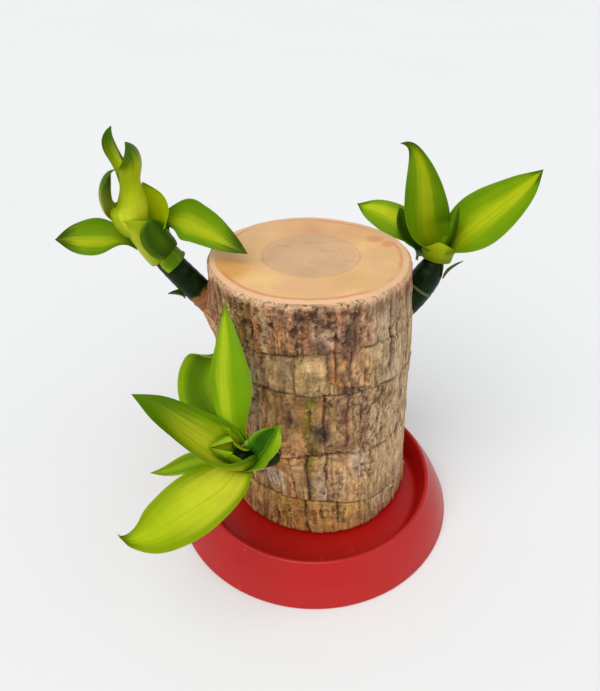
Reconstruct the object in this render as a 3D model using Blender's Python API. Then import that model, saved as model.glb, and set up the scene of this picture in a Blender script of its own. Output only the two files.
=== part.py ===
"""Brazilian wood plant: a sawn log with three leafy shoots, standing in a red plastic bowl.

Lengths are in millimetres and MM turns them into metres. +Z is up, the ground is Z = 0, -Y is the
front, and the origin is the centre of the whole plant's box on the ground.
"""

import math

import bmesh
import bpy
import numpy as np

MM = 0.001

# Where the bowl's centre stands, so that the leaves reach equally far on both sides of the origin.
BOWL_X = 6.77
BOWL_Y = 9.59

# Bowl: a thin moulded dish whose wall turns over at the rim and flares out to the foot.
BOWL_HEIGHT = 20.0
RIM_RADIUS = 59.5
FOOT_RADIUS = 69.5
FOOT_WIDTH = 2.2
WALL = 2.0
FLOOR_TOP = 8.0
FLOOR_THICKNESS = 2.5
FLOOR_RADIUS = 54.6
BOWL_STEPS = 60

# Log: a nearly straight length of trunk that leans a little to the left.
LOG_BASE = (2.8, 8.3)
LOG_TOP = (-3.05, 7.8)
LOG_BASE_RADIUS = 44.1
LOG_TOP_RADIUS = 43.15
LOG_TOP_HEIGHT = 138.5
CUT_SLOPE = math.radians(-3.3)
LOG_EDGE = 3.0
LOG_SEGMENTS = 44
LOG_RINGS = 15
RING_SCARS = (36.0, 66.0, 92.0, 118.0)
SCAR_DEPTH = 0.5

CLEARANCE = 0.3
LEAF_CLEARANCE = 0.5
TRIM_CLEARANCE = 0.4
LEAF_THICKNESS = 0.7
STEM_ROOT = 6.0
STEM_SEGMENTS = 12
CALLUS_HEIGHT = 3.4
CALLUS_SPREAD = 7.4
BULGE_ANGLE = math.radians(-5)
BULGE_CENTRE = 104.0
BULGE = 1.3

# Stems: where each leaves the log, its heading (turn) and climb (rise) in degrees along its length,
# and its radius from the foot to the tip.
STEMS = {
    "a": dict(base=(-41.5, 7.2, 109), turn=(184,), rise=(52, 52, 54, 56), length=58.5,
              radius=(5.8, 5.8, 5.8, 5.6, 5, 4, 3)),
    "b": dict(base=(34.5, 24.5, 96), turn=(20, 20, 15, 10), rise=(40, 46, 62, 82), length=39.5,
              radius=(7, 7, 7, 6.4, 3.2)),
    "c": dict(base=(-16, -30, 61), turn=(-121,), rise=(25, 35, 45), length=30.5,
              radius=(5.5, 5.5, 5, 4.5, 3)),
}

# Leaves: at is how far up its stem a leaf starts, side the compass side of the stem that it starts
# on, and aim the (turn, rise) that it bends through after it leaves the stem. outline is the share
# of the full width, curl the half angle of the leaf's hollow and roll its turn about its own
# midrib, each at even steps from the base to the tip.
LEAVES = {
    "a_left": dict(stem="a", at=47.2, side=190, length=33, width=16,
                   aim=((190, 14), (190, 2), (190, 3), (190, 1)), outline=(.45, .6, 1, .97, .7, 0),
                   curl=(70, 40, 25, 15), roll=(0, -40, -50, -50), lift=1.2),
    "a_right": dict(stem="a", at=33.5, side=20, length=53, width=17.5,
                    aim=((184, 70), (150, 80), (-5, 15), (-15, -8), (-22, -17), (-25, -20), (-25, -20),
                         (-25, -20), (-25, -19)),
                    outline=(.25, .2, .25, .58, 1, .92, .8, .6, .34, 0), curl=(50, 40, 25, 20, 15),
                    roll=(0, 10, 45, 78, 80, 80, 76)),
    "a_sheath": dict(stem="a", at=37.8, side=180, length=49.5, width=46,
                     aim=((184, 60), (184, 65), (184, 63), (182, 47), (180, 55), (180, 84), (0, 74),
                          (0, 48), (0, 5)),
                     outline=(.45, .62, .8, .9, .5, .3, .29, .28, .2, 0),
                     curl=(150, 150, 150, 145, 80, 35, 45, 50, 50, 40), lift=.3),
    "a_spear": dict(stem="a", at=55, side=80, length=39.5, width=10,
                    aim=((0, 84), (0, 88), (180, 85), (180, 75), (180, 68), (180, 84), (0, 62)),
                    outline=(.7, .8, .8, .9, 1, .9, 0), curl=(90, 70, 60, 40), roll=(0, -20, -30)),
    "a_funnel": dict(stem="a", at=50.2, side=0, length=38, width=40,
                     aim=((0, 80), (0, 88), (180, 76), (180, 86), (0, 72), (180, 88), (180, 56), (180, 24)),
                     outline=(.4, .9, .98, .78, .52, .5, .52, .46, 0),
                     curl=(150, 164, 164, 150, 130, 120, 90, 60, 40)),
    "a_back": dict(stem="a", at=41.7, side=20, length=25, width=20, aim=((150, 74), (175, 71), (175, 72)),
                   outline=(.5, .8, 1, .95, .7, 0), curl=(60, 50, 40), roll=(0, 50, 65), lift=1.6),
    "a_front": dict(stem="a", at=39.5, side=-38, length=16.5, width=14.5,
                    aim=((184, 56), (184, 72), (184, 76)), outline=(.65, .95, 1, .92, .7, 0),
                    curl=(55, 45, 40), lift=5.4),
    "a_lip": dict(stem="a", at=32.5, side=-25, length=9, width=17, aim=((184, 56), (180, 66)),
                  outline=(.9, 1, .95, .7, 0), curl=(85, 80, 70), lift=1),
    "a_scale": dict(stem="a", at=17.5, side=190, length=8, width=6, aim=((190, 10), (190, 0)),
                    outline=(.8, .9, .6, 0), curl=(60, 50, 40)),
    "b_tall": dict(stem="b", at=37.5, side=145, length=56, width=24.5,
                   aim=((174, 72), (174, 80), (172, 82), (172, 80), (170, 75), (170, 60), (170, -15)),
                   outline=(.8, .98, 1, .92, .74, .5, .24, 0), curl=(70, 45, 30, 20),
                   roll=(0, -30, -50, -60), lift=.6),
    "b_right": dict(stem="b", at=37, side=-10, length=57.5, width=25.5,
                    aim=((-10, 58), (-10, 49), (-10, 47), (-10, 51), (-10, 58)),
                    outline=(.55, .8, .98, 1, .9, .7, .42, 0), curl=(70, 30, 20, 15), roll=(0, 45, 60, 60)),
    "b_left": dict(stem="b", at=33.5, side=152, length=41.3, width=17,
                   aim=((155, 45), (150, 31), (150, 18), (150, 8), (150, 15)),
                   outline=(.5, .8, 1, .97, .68, 0), curl=(70, 35, 20, 15), roll=(0, -30, -45, -45),
                   lift=2),
    "b_back": dict(stem="b", at=34, side=160, length=25.5, width=14, aim=((150, 52), (145, 55), (140, 58)),
                   outline=(.6, .85, 1, .9, .6, 0), curl=(70, 50, 40), roll=(0, -40, -60, -65), lift=1.8),
    "b_front": dict(stem="b", at=38.4, side=-100, length=10.5, width=18, aim=((-115, 84), (150, 86)),
                    outline=(.85, .98, 1, .72, .4, 0), curl=(75, 55, 45), lift=3.4),
    "b_curl": dict(stem="b", at=38.5, side=-30, length=26, width=9, aim=((0, 76), (40, 88), (180, 80)),
                   outline=(.6, .8, 1, .7, 0), curl=(60, 50, 40)),
    "b_scale": dict(stem="b", at=30.5, side=-20, length=13, width=5, aim=((-20, 50), (-20, 40)),
                    outline=(.8, .9, .6, 0), curl=(60, 50, 40)),
    "c_tall": dict(stem="c", at=28, side=70, length=62.5, width=19.5,
                   aim=((98, 66), (98, 78), (112, 76), (115, 71)), outline=(.5, .6, .92, 1, .78, .42, 0),
                   curl=(70, 45, 30, 20), lift=2.4),
    "c_back": dict(stem="c", at=22, side=115, length=53, width=24,
                   aim=((140, 44), (140, 47), (125, 52), (60, 62), (20, 52), (0, 40)),
                   outline=(.5, .75, 1, 1, .92, .65, 0), curl=(70, 40, 25, 20), roll=(0, 0, -8, -15, -20),
                   lift=2.4),
    "c_left": dict(stem="c", at=28.5, side=-152, length=55.5, width=28,
                   aim=((188, 49), (185, 52), (185, 53), (186, 40)), outline=(1.1, 1.1, .94, .74, .42, 0),
                   curl=(140, 80, 44, 25), roll=(0, -12, -20), lift=.8),
    "c_front": dict(stem="c", at=27, side=-120, length=61, width=25,
                    aim=((-112, 12), (-126, 3), (-138, -6), (-148, -15), (-154, -22), (-158, -21),
                         (-168, 0), (80, 88)),
                    outline=(.5, .78, .96, 1, .99, .88, .68, .3, 0), curl=(60, 30, 20, 15),
                    roll=(0, -15, -20), lift=1.2),
    "c_right": dict(stem="c", at=26.5, side=-30, length=23, width=16,
                    aim=((10, 58), (20, 62), (25, 55), (30, 40)), outline=(.7, .95, 1, .9, .6, 0),
                    curl=(70, 60, 50, 40), roll=(0, 30, 50, 40), lift=.6),
    "c_low": dict(stem="c", at=18, side=180, length=45, width=9, aim=((180, -8), (180, -28), (180, -5)),
                  outline=(.6, .8, 1, .7, 0), curl=(60, 40, 30)),
    "c_heart": dict(stem="c", at=28, side=180, length=16.5, width=22,
                    aim=((188, 52), (188, 44), (-125, 40), (-95, 36)), outline=(.95, .95, 1, 1.05, 1.05, 0),
                    curl=(150, 155, 155, 150)),
}


# Leaves that crowd together at the tip of a shoot, each cut back clear of the neighbours listed.
TRIMS = {
    "leaf_a_left": ("leaf_a_sheath",),
    "leaf_a_funnel": ("leaf_a_sheath",),
    "leaf_a_front": ("leaf_a_sheath", "leaf_a_left"),
    "leaf_a_right": ("leaf_a_sheath",),
    "leaf_a_lip": ("leaf_a_right", "leaf_a_sheath"),
    "leaf_a_back": ("leaf_a_sheath", "leaf_a_funnel", "leaf_a_front", "leaf_a_right", "stem_a"),
    "leaf_a_spear": ("leaf_a_funnel", "leaf_a_sheath", "leaf_a_back", "stem_a"),
    "leaf_b_left": ("log",),
    "leaf_b_tall": ("leaf_b_right",),
    "leaf_b_curl": ("leaf_b_right",),
    "leaf_b_front": ("leaf_b_right", "leaf_b_tall"),
    "leaf_b_back": ("leaf_b_front", "leaf_b_left", "leaf_b_tall"),
    "leaf_c_left": ("stem_c",),
    "leaf_c_back": ("leaf_c_front", "leaf_c_left", "leaf_c_low"),
    "leaf_c_tall": ("leaf_c_left",),
    "leaf_c_heart": ("leaf_c_left", "leaf_c_tall", "stem_c"),
    "leaf_c_right": ("leaf_c_front", "leaf_c_left", "leaf_c_tall", "leaf_c_heart"),
}


def along(values, u):
    """Smooth curve through values at even steps, read at the shares u of its length."""
    v = np.array(values, float)
    n = len(v) - 1
    if n == 0:
        return np.repeat(v, len(u), axis=0)
    p = np.concatenate([[2 * v[0] - v[1]], v, [2 * v[-1] - v[-2]]])
    x = np.clip(u, 0, 1) * n
    k = np.clip(np.floor(x).astype(int), 0, n - 1)
    t = x - k
    if v.ndim > 1:
        t = t[:, None]
    a, b, c, d = p[k], p[k + 1], p[k + 2], p[k + 3]
    return b + t / 2 * (c - a) + t**2 * (a - 2.5 * b + 2 * c - d / 2) + t**3 * (3 * (b - c) + d - a) / 2


def direction(turn, rise):
    """Unit vector that heads turn degrees round from +X and climbs rise degrees."""
    t, r = np.radians(turn), np.radians(rise)
    return np.stack([np.cos(r) * np.cos(t), np.cos(r) * np.sin(t), np.sin(r)], -1)


def unit(v):
    return v / np.linalg.norm(v, axis=-1, keepdims=True)


def smooth_step(x):
    x = np.clip(x, 0, 1)
    return x * x * (3 - 2 * x)


def walk(start, headings, length):
    """Points of a path that starts at start and follows the headings for length."""
    step = length / (len(headings) - 1)
    steps = (headings[1:] + headings[:-1]) / 2 * step
    return np.array(start, float) + np.vstack([np.zeros(3), np.cumsum(steps, 0)])


def stem_axis(stem, count=41):
    """Centre line, heading and radius of a stem at count even steps."""
    u = np.linspace(0, 1, count)
    headings = unit(direction(along(stem["turn"], u), along(stem["rise"], u)))
    return walk(stem["base"], headings, stem["length"]), headings, along(stem["radius"], u)


def stem_point(stem, distance):
    """Centre, heading and radius of a stem at a distance from its foot."""
    centres, headings, radii = stem_axis(stem)
    x = np.linspace(0, stem["length"], len(radii))
    read = [np.interp(distance, x, column) for column in (*centres.T, *headings.T, radii)]
    return np.array(read[:3]), unit(np.array(read[3:6])), read[6]


def make_material(name, colour, roughness):
    material = bpy.data.materials.new(name)
    material.use_nodes = True
    shader = material.node_tree.nodes["Principled BSDF"]
    shader.inputs["Base Color"].default_value = (*colour, 1)
    shader.inputs["Roughness"].default_value = roughness
    shader.inputs["Metallic"].default_value = 0
    return material


def add_object(name, bm, material, plant):
    """Turn a bmesh in millimetres into a named object that belongs to the plant."""
    bmesh.ops.scale(bm, vec=(MM, MM, MM), verts=bm.verts)
    mesh = bpy.data.meshes.new(name)
    bm.to_mesh(mesh)
    bm.free()
    mesh.materials.append(material)
    mesh.shade_smooth()
    item = bpy.data.objects.new(name, mesh)
    item.parent = plant
    bpy.context.collection.objects.link(item)
    return item


def loft(rings, closed_ends=True):
    """Skin rings of points, each ring running counter-clockwise about the way the rings go."""
    bm = bmesh.new()
    rows = [[bm.verts.new(point) for point in ring] for ring in rings]
    count = len(rows[0])
    for low, high in zip(rows, rows[1:]):
        for i in range(count):
            j = (i + 1) % count
            bm.faces.new((low[i], low[j], high[j], high[i]))
    if closed_ends:
        bm.faces.new(reversed(rows[0]))
        bm.faces.new(rows[-1])
    return bm


def arc(centre, radius, start, end, count):
    """Points of an arc about a centre in the profile plane, angles in degrees."""
    angles = np.radians(np.linspace(start, end, count))
    return [(centre[0] + radius * math.cos(a), centre[1] + radius * math.sin(a)) for a in angles]


def bowl_profile():
    """Half section of the bowl from the middle of its floor out over the rim and back underneath."""
    lip = 1.2
    fillet = 3.0
    under = FLOOR_TOP - FLOOR_THICKNESS
    lip_centre = (RIM_RADIUS - lip, BOWL_HEIGHT - lip)
    belly = ((RIM_RADIUS + FOOT_RADIUS) / 2 + 0.7, BOWL_HEIGHT / 2)
    points = [(0, FLOOR_TOP)]
    points += arc((FLOOR_RADIUS - fillet, FLOOR_TOP + fillet), fillet, -90, -10, 4)
    points += arc(lip_centre, lip, 170, 20, 5)
    points += [belly, (FOOT_RADIUS - 0.3, 1.6), (FOOT_RADIUS, 0.6), (FOOT_RADIUS - 0.3, 0)]
    points += [(FOOT_RADIUS - FOOT_WIDTH, 0), (belly[0] - WALL, belly[1])]
    points += [(RIM_RADIUS - 0.9, BOWL_HEIGHT - lip - WALL)]
    points += arc((FLOOR_RADIUS - fillet, FLOOR_TOP + fillet), fillet + WALL, -5, -75, 3)
    points += [(FLOOR_RADIUS - fillet, under), (0, under)]
    return points


def build_bowl(plant):
    bm = bmesh.new()
    verts = [bm.verts.new((radius, 0, height)) for radius, height in bowl_profile()]
    for start, end in zip(verts, verts[1:]):
        bm.edges.new((start, end))
    bowl = add_object("bowl", bm, make_material("red_plastic", (0.42, 0.02, 0.015), 0.3), plant)
    screw = bowl.modifiers.new("turn", "SCREW")
    screw.axis = "Z"
    screw.steps = BOWL_STEPS
    screw.render_steps = BOWL_STEPS
    screw.use_merge_vertices = True
    screw.merge_threshold = 0.00001
    screw.use_smooth_shade = True
    return bowl


def callus(turn, height):
    """Swelling of the bark round the foot of each shoot."""
    swelling = 0
    for stem in STEMS.values():
        x, y, z = stem["base"]
        angle = math.atan2(y - LOG_TOP[1], x - LOG_TOP[0])
        away = (np.mod(turn - angle + math.pi, 2 * math.pi) - math.pi) * LOG_TOP_RADIUS
        swelling = swelling + np.exp(-(away**2 + (height - z - 3) ** 2) / (2 * CALLUS_SPREAD**2))
    return CALLUS_HEIGHT * swelling


def bulge(turn, height):
    """Broad swelling of the log's right side."""
    away = (np.mod(turn - BULGE_ANGLE + math.pi, 2 * math.pi) - math.pi) * LOG_TOP_RADIUS
    return BULGE * np.exp(-((away / 22) ** 2) - ((height - BULGE_CENTRE) / 24) ** 2)


def log_ring(height, inset, growth):
    """Ring of bark points at a height, drawn in by inset and let out by growth."""
    foot = FLOOR_TOP + CLEARANCE
    share = (height - foot) / (LOG_TOP_HEIGHT - foot)
    turn = np.linspace(0, 2 * math.pi, LOG_SEGMENTS, endpoint=False)
    radius = LOG_BASE_RADIUS + (LOG_TOP_RADIUS - LOG_BASE_RADIUS) * share
    radius = radius + 0.4 * np.cos(3 * turn + 1) * (1 - share) + 0.3 * np.cos(5 * turn + 4 * share)
    for scar in RING_SCARS:
        radius = radius - SCAR_DEPTH * math.exp(-(((height - scar) / 1.5) ** 2))
    radius = radius + callus(turn, height) + bulge(turn, height) - inset + growth
    x = LOG_BASE[0] + (LOG_TOP[0] - LOG_BASE[0]) * share + radius * np.cos(turn)
    y = LOG_BASE[1] + (LOG_TOP[1] - LOG_BASE[1]) * share + radius * np.sin(turn)
    z = height + share * math.tan(CUT_SLOPE) * (y - LOG_TOP[1])
    return np.stack([x, y, z], -1)


def log_bmesh(growth):
    """Trunk between its rounded foot and its sawn top, let out all round by growth."""
    foot = FLOOR_TOP + CLEARANCE
    rings = [(foot, LOG_EDGE), (foot + 0.9, 0.9), (foot + LOG_EDGE, 0)]
    for scar in RING_SCARS:
        rings += [(scar - 3, 0), (scar, 0), (scar + 3, 0)]
    rings += [(height, 0) for height in (23, 51, 79, 105, 111, 127, LOG_TOP_HEIGHT - 0.8)]
    rings += [(LOG_TOP_HEIGHT, 0.7)]
    rings.sort()
    return loft([log_ring(height, inset, growth) for height, inset in rings])


def build_log(plant):
    bark = make_material("bark", (0.36, 0.25, 0.17), 0.85)
    return add_object("log", log_bmesh(0), bark, plant)


def build_log_cutter(plant):
    """Slightly larger trunk that trims the feet of the shoots."""
    cutter = add_object("log_cutter", log_bmesh(LEAF_CLEARANCE), make_material("cutter", (1, 1, 1), 1), plant)
    cutter.hide_render = True
    cutter.display_type = "WIRE"
    return cutter


def build_stem(name, stem, cutter, plant):
    """Tapering round stem with a domed tip, trimmed where it meets the bark."""
    centres, headings, radii = stem_axis(stem, 11)
    centres = np.vstack([centres[:1] - headings[:1] * STEM_ROOT, centres])
    headings = np.vstack([headings[:1], headings])
    radii = np.concatenate([radii[:1], radii])
    tip, tip_radius = centres[-1:], radii[-1]
    for beyond, share in ((0.6, 0.8), (0.9, 0.4)):
        centres = np.vstack([centres, tip + headings[-1:] * beyond * tip_radius])
        headings = np.vstack([headings, headings[-1:]])
        radii = np.append(radii, tip_radius * share)
    across = unit(np.cross(headings, (0.0, 1.0, 0.0)))
    over = np.cross(headings, across)
    rings = []
    for centre, a, b, radius in zip(centres, across, over, radii):
        angles = np.linspace(0, 2 * math.pi, STEM_SEGMENTS, endpoint=False)[:, None]
        rings.append(centre + radius * (np.cos(angles) * a + np.sin(angles) * b))
    item = add_object(name, loft(rings), make_material(name, (0.03, 0.09, 0.02), 0.5), plant)
    trim = item.modifiers.new("trim", "BOOLEAN")
    trim.operation = "DIFFERENCE"
    trim.solver = "EXACT"
    trim.object = cutter
    return item


def leaf_grid(stem, at, side, length, width, aim, outline, curl, roll=(0,), lift=0):
    """Grid of points of a leaf's middle surface, in rows from its base to its tip.

    The midrib leaves the stem along the stem's own heading and bends through the aims. Each row is
    an arc across it, hollow towards the stem, wrapped round the stem at the base.
    """
    centre, heading, stem_radius = stem_point(stem, at)
    outward = direction(side, 0)
    outward = unit(outward - (outward @ heading) * heading)
    base_radius = stem_radius + LEAF_CLEARANCE + LEAF_THICKNESS / 2 + lift
    rows = max(6, round(length / 3.4))
    columns = 9 if max(curl) > 100 else 5
    u = np.linspace(0, 1, rows)
    headings = unit(along(np.vstack([heading] + [direction(*pair) for pair in aim]), u))
    midrib = walk(centre + outward * base_radius, headings, length)
    start_across = np.cross(heading, outward)
    across = unit(start_across - (headings @ start_across)[:, None] * headings)
    inward = np.cross(headings, across)
    turn = np.radians(along(roll, u))[:, None]
    across, inward = (across * np.cos(turn) + inward * np.sin(turn),
                      inward * np.cos(turn) - across * np.sin(turn))
    half_width = np.maximum(width / 2 * along(outline, u), 0)
    wrap = min(half_width[0] / base_radius, math.radians(165))
    blend = smooth_step(u * 4)
    half_angle = wrap * (1 - blend) + np.radians(along(curl, u)) * blend
    angle = half_angle[:, None] * np.linspace(-1, 1, columns)
    radius = (half_width / half_angle)[:, None]
    sideways = (radius * np.sin(angle))[..., None]
    hollow = (radius * (1 - np.cos(angle)))[..., None]
    return midrib[:, None] + across[:, None] * sideways + inward[:, None] * hollow


def build_leaf(name, leaf, plant):
    """Leaf blade of even thickness about its middle surface."""
    values = dict(leaf, stem=STEMS[leaf["stem"]])
    grid = leaf_grid(**values)
    bm = bmesh.new()
    rows = [[bm.verts.new(point) for point in row] for row in grid]
    for low, high in zip(rows, rows[1:]):
        for i in range(len(low) - 1):
            bm.faces.new((low[i], low[i + 1], high[i + 1], high[i]))
    bmesh.ops.remove_doubles(bm, verts=bm.verts, dist=0.05)
    item = add_object(name, bm, make_material(name, (0.25, 0.45, 0.03), 0.4), plant)
    solidify = item.modifiers.new("thickness", "SOLIDIFY")
    solidify.thickness = LEAF_THICKNESS * MM
    solidify.offset = 0
    return item


def trim_clear(item, neighbour):
    """Cut a leaf back from a neighbour, a little clear of it."""
    cutter = neighbour.copy()
    cutter.name = f"{item.name}_cutter"
    cutter.hide_render = True
    cutter.display_type = "WIRE"
    bpy.context.collection.objects.link(cutter)
    swell = cutter.modifiers.new("clearance", "DISPLACE")
    swell.strength = TRIM_CLEARANCE * MM
    swell.mid_level = 0
    trim = item.modifiers.new("trim", "BOOLEAN")
    trim.operation = "DIFFERENCE"
    trim.solver = "EXACT"
    trim.object = cutter


def keep_largest(item):
    """Apply a trimmed leaf's modifiers and drop the stub that a cut leaves by the stem."""
    depsgraph = bpy.context.evaluated_depsgraph_get()
    mesh = bpy.data.meshes.new_from_object(item.evaluated_get(depsgraph))
    item.modifiers.clear()
    item.data = mesh
    bm = bmesh.new()
    bm.from_mesh(mesh)
    islands = []
    waiting = set(bm.verts)
    while waiting:
        island = set()
        edge_of_search = {waiting.pop()}
        while edge_of_search:
            island |= edge_of_search
            reached = {edge.other_vert(vert) for vert in edge_of_search for edge in vert.link_edges}
            edge_of_search = reached - island
        waiting -= island
        islands.append(island)
    islands.sort(key=lambda island: sum(face.calc_area() for vert in island for face in vert.link_faces))
    stubs = [vert for island in islands[:-1] for vert in island]
    bmesh.ops.delete(bm, geom=stubs, context="VERTS")
    bm.to_mesh(mesh)
    bm.free()


def main():
    for item in list(bpy.data.objects):
        bpy.data.objects.remove(item)
    plant = bpy.data.objects.new("plant", None)
    plant.location = (BOWL_X * MM, BOWL_Y * MM, 0)
    bpy.context.collection.objects.link(plant)
    build_bowl(plant)
    build_log(plant)
    cutter = build_log_cutter(plant)
    for name, stem in STEMS.items():
        build_stem(f"stem_{name}", stem, cutter, plant)
    for name, leaf in LEAVES.items():
        build_leaf(f"leaf_{name}", leaf, plant)
    for name, neighbours in TRIMS.items():
        leaf = bpy.data.objects[name]
        for neighbour in neighbours:
            trim_clear(leaf, bpy.data.objects[neighbour])
        keep_largest(leaf)


main()
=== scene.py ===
"""Looks of a Brazilian wood plant: a sawn log with three leafy shoots in a red plastic bowl.

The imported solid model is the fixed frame. Each of its pieces gets a finer surface of the same size
in the same place, worked out from a formula, with a material built from shader nodes.
Lengths in the tables are in millimetres from the bowl's centre on the ground, +Z up and -Y to the
front, and new_piece places them. Angles are in degrees.
"""

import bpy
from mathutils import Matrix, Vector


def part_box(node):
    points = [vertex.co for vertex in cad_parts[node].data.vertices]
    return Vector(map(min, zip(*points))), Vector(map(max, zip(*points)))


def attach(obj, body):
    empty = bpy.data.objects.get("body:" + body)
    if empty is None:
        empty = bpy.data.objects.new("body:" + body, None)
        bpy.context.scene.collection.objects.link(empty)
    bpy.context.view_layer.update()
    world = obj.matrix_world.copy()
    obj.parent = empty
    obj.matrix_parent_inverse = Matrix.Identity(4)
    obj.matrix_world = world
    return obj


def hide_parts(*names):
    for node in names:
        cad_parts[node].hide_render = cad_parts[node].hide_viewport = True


bl_info = {
    "name": "Wood Plant in a Bowl",
    "version": (1, 0, 0),
    "blender": (4, 5, 0),
    "location": "3D View > Sidebar > Wood Plant",
    "description": "Builds a sawn log with leafy shoots, its plastic bowl and a plain stage",
    "category": "Add Mesh",
}

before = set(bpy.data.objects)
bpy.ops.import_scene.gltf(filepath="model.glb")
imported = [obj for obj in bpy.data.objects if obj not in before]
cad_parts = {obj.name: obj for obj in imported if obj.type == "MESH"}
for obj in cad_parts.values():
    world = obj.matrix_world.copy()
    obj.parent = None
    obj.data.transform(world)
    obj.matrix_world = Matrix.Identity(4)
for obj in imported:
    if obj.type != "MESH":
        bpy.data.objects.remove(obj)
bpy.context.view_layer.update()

import math

import bpy
import numpy as np
from bpy.props import FloatProperty, FloatVectorProperty, IntProperty, PointerProperty
from mathutils import Vector

MM = 0.001
BODY = "root"

BOWL_LOW, BOWL_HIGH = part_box("bowl")
BOWL_CENTRE = np.array([(BOWL_LOW.x + BOWL_HIGH.x) / 2, (BOWL_LOW.y + BOWL_HIGH.y) / 2, 0])

# The log leans a little to the left; its foot and its sawn top are round these points. It stands on
# the bowl's floor, just clear of it, and its cut slopes to the back.
LOG_BASE = (2.8, 8.3)
LOG_TOP = (-3.05, 7.8)
LOG_FOOT = 8.3
CUT_SLOPE = math.radians(-3.3)

# Scars that ring the bark where old leaves grew: the height of each every 45 degrees round the log,
# from the right side round the back.
RING_SCARS = (
    (24, 27, 30, 33, 34, 35.5, 33, 26),
    (60, 62, 63, 62, 63, 62, 63, 59),
    (94, 95, 97, 97, 96, 96.5, 96, 94),
    (116, 115, 113, 114, 114, 113, 115.5, 116),
)

# Stems: where each leaves the log, its heading (turn) and climb (rise) along its length, its radius
# from the foot to the tip, how far up it the scars of shed leaves are, and how far its brown foot
# reaches.
STEMS = {
    "a": dict(base=(-41.5, 7.2, 109), turn=(184,), rise=(52, 52, 54, 56), length=58.5,
              radius=(5.8, 5.8, 5.8, 5.6, 5, 4, 3), scars=(12.5,), foot=16),
    "b": dict(base=(34.5, 24.5, 96), turn=(20, 20, 15, 10), rise=(40, 46, 62, 82), length=39.5,
              radius=(7, 7, 7, 6.4, 3.2), scars=(21,), foot=4),
    "c": dict(base=(-16, -30, 61), turn=(-121,), rise=(25, 35, 45), length=30.5,
              radius=(5.5, 5.5, 5, 4.5, 3), scars=(6,), foot=4),
}

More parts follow.
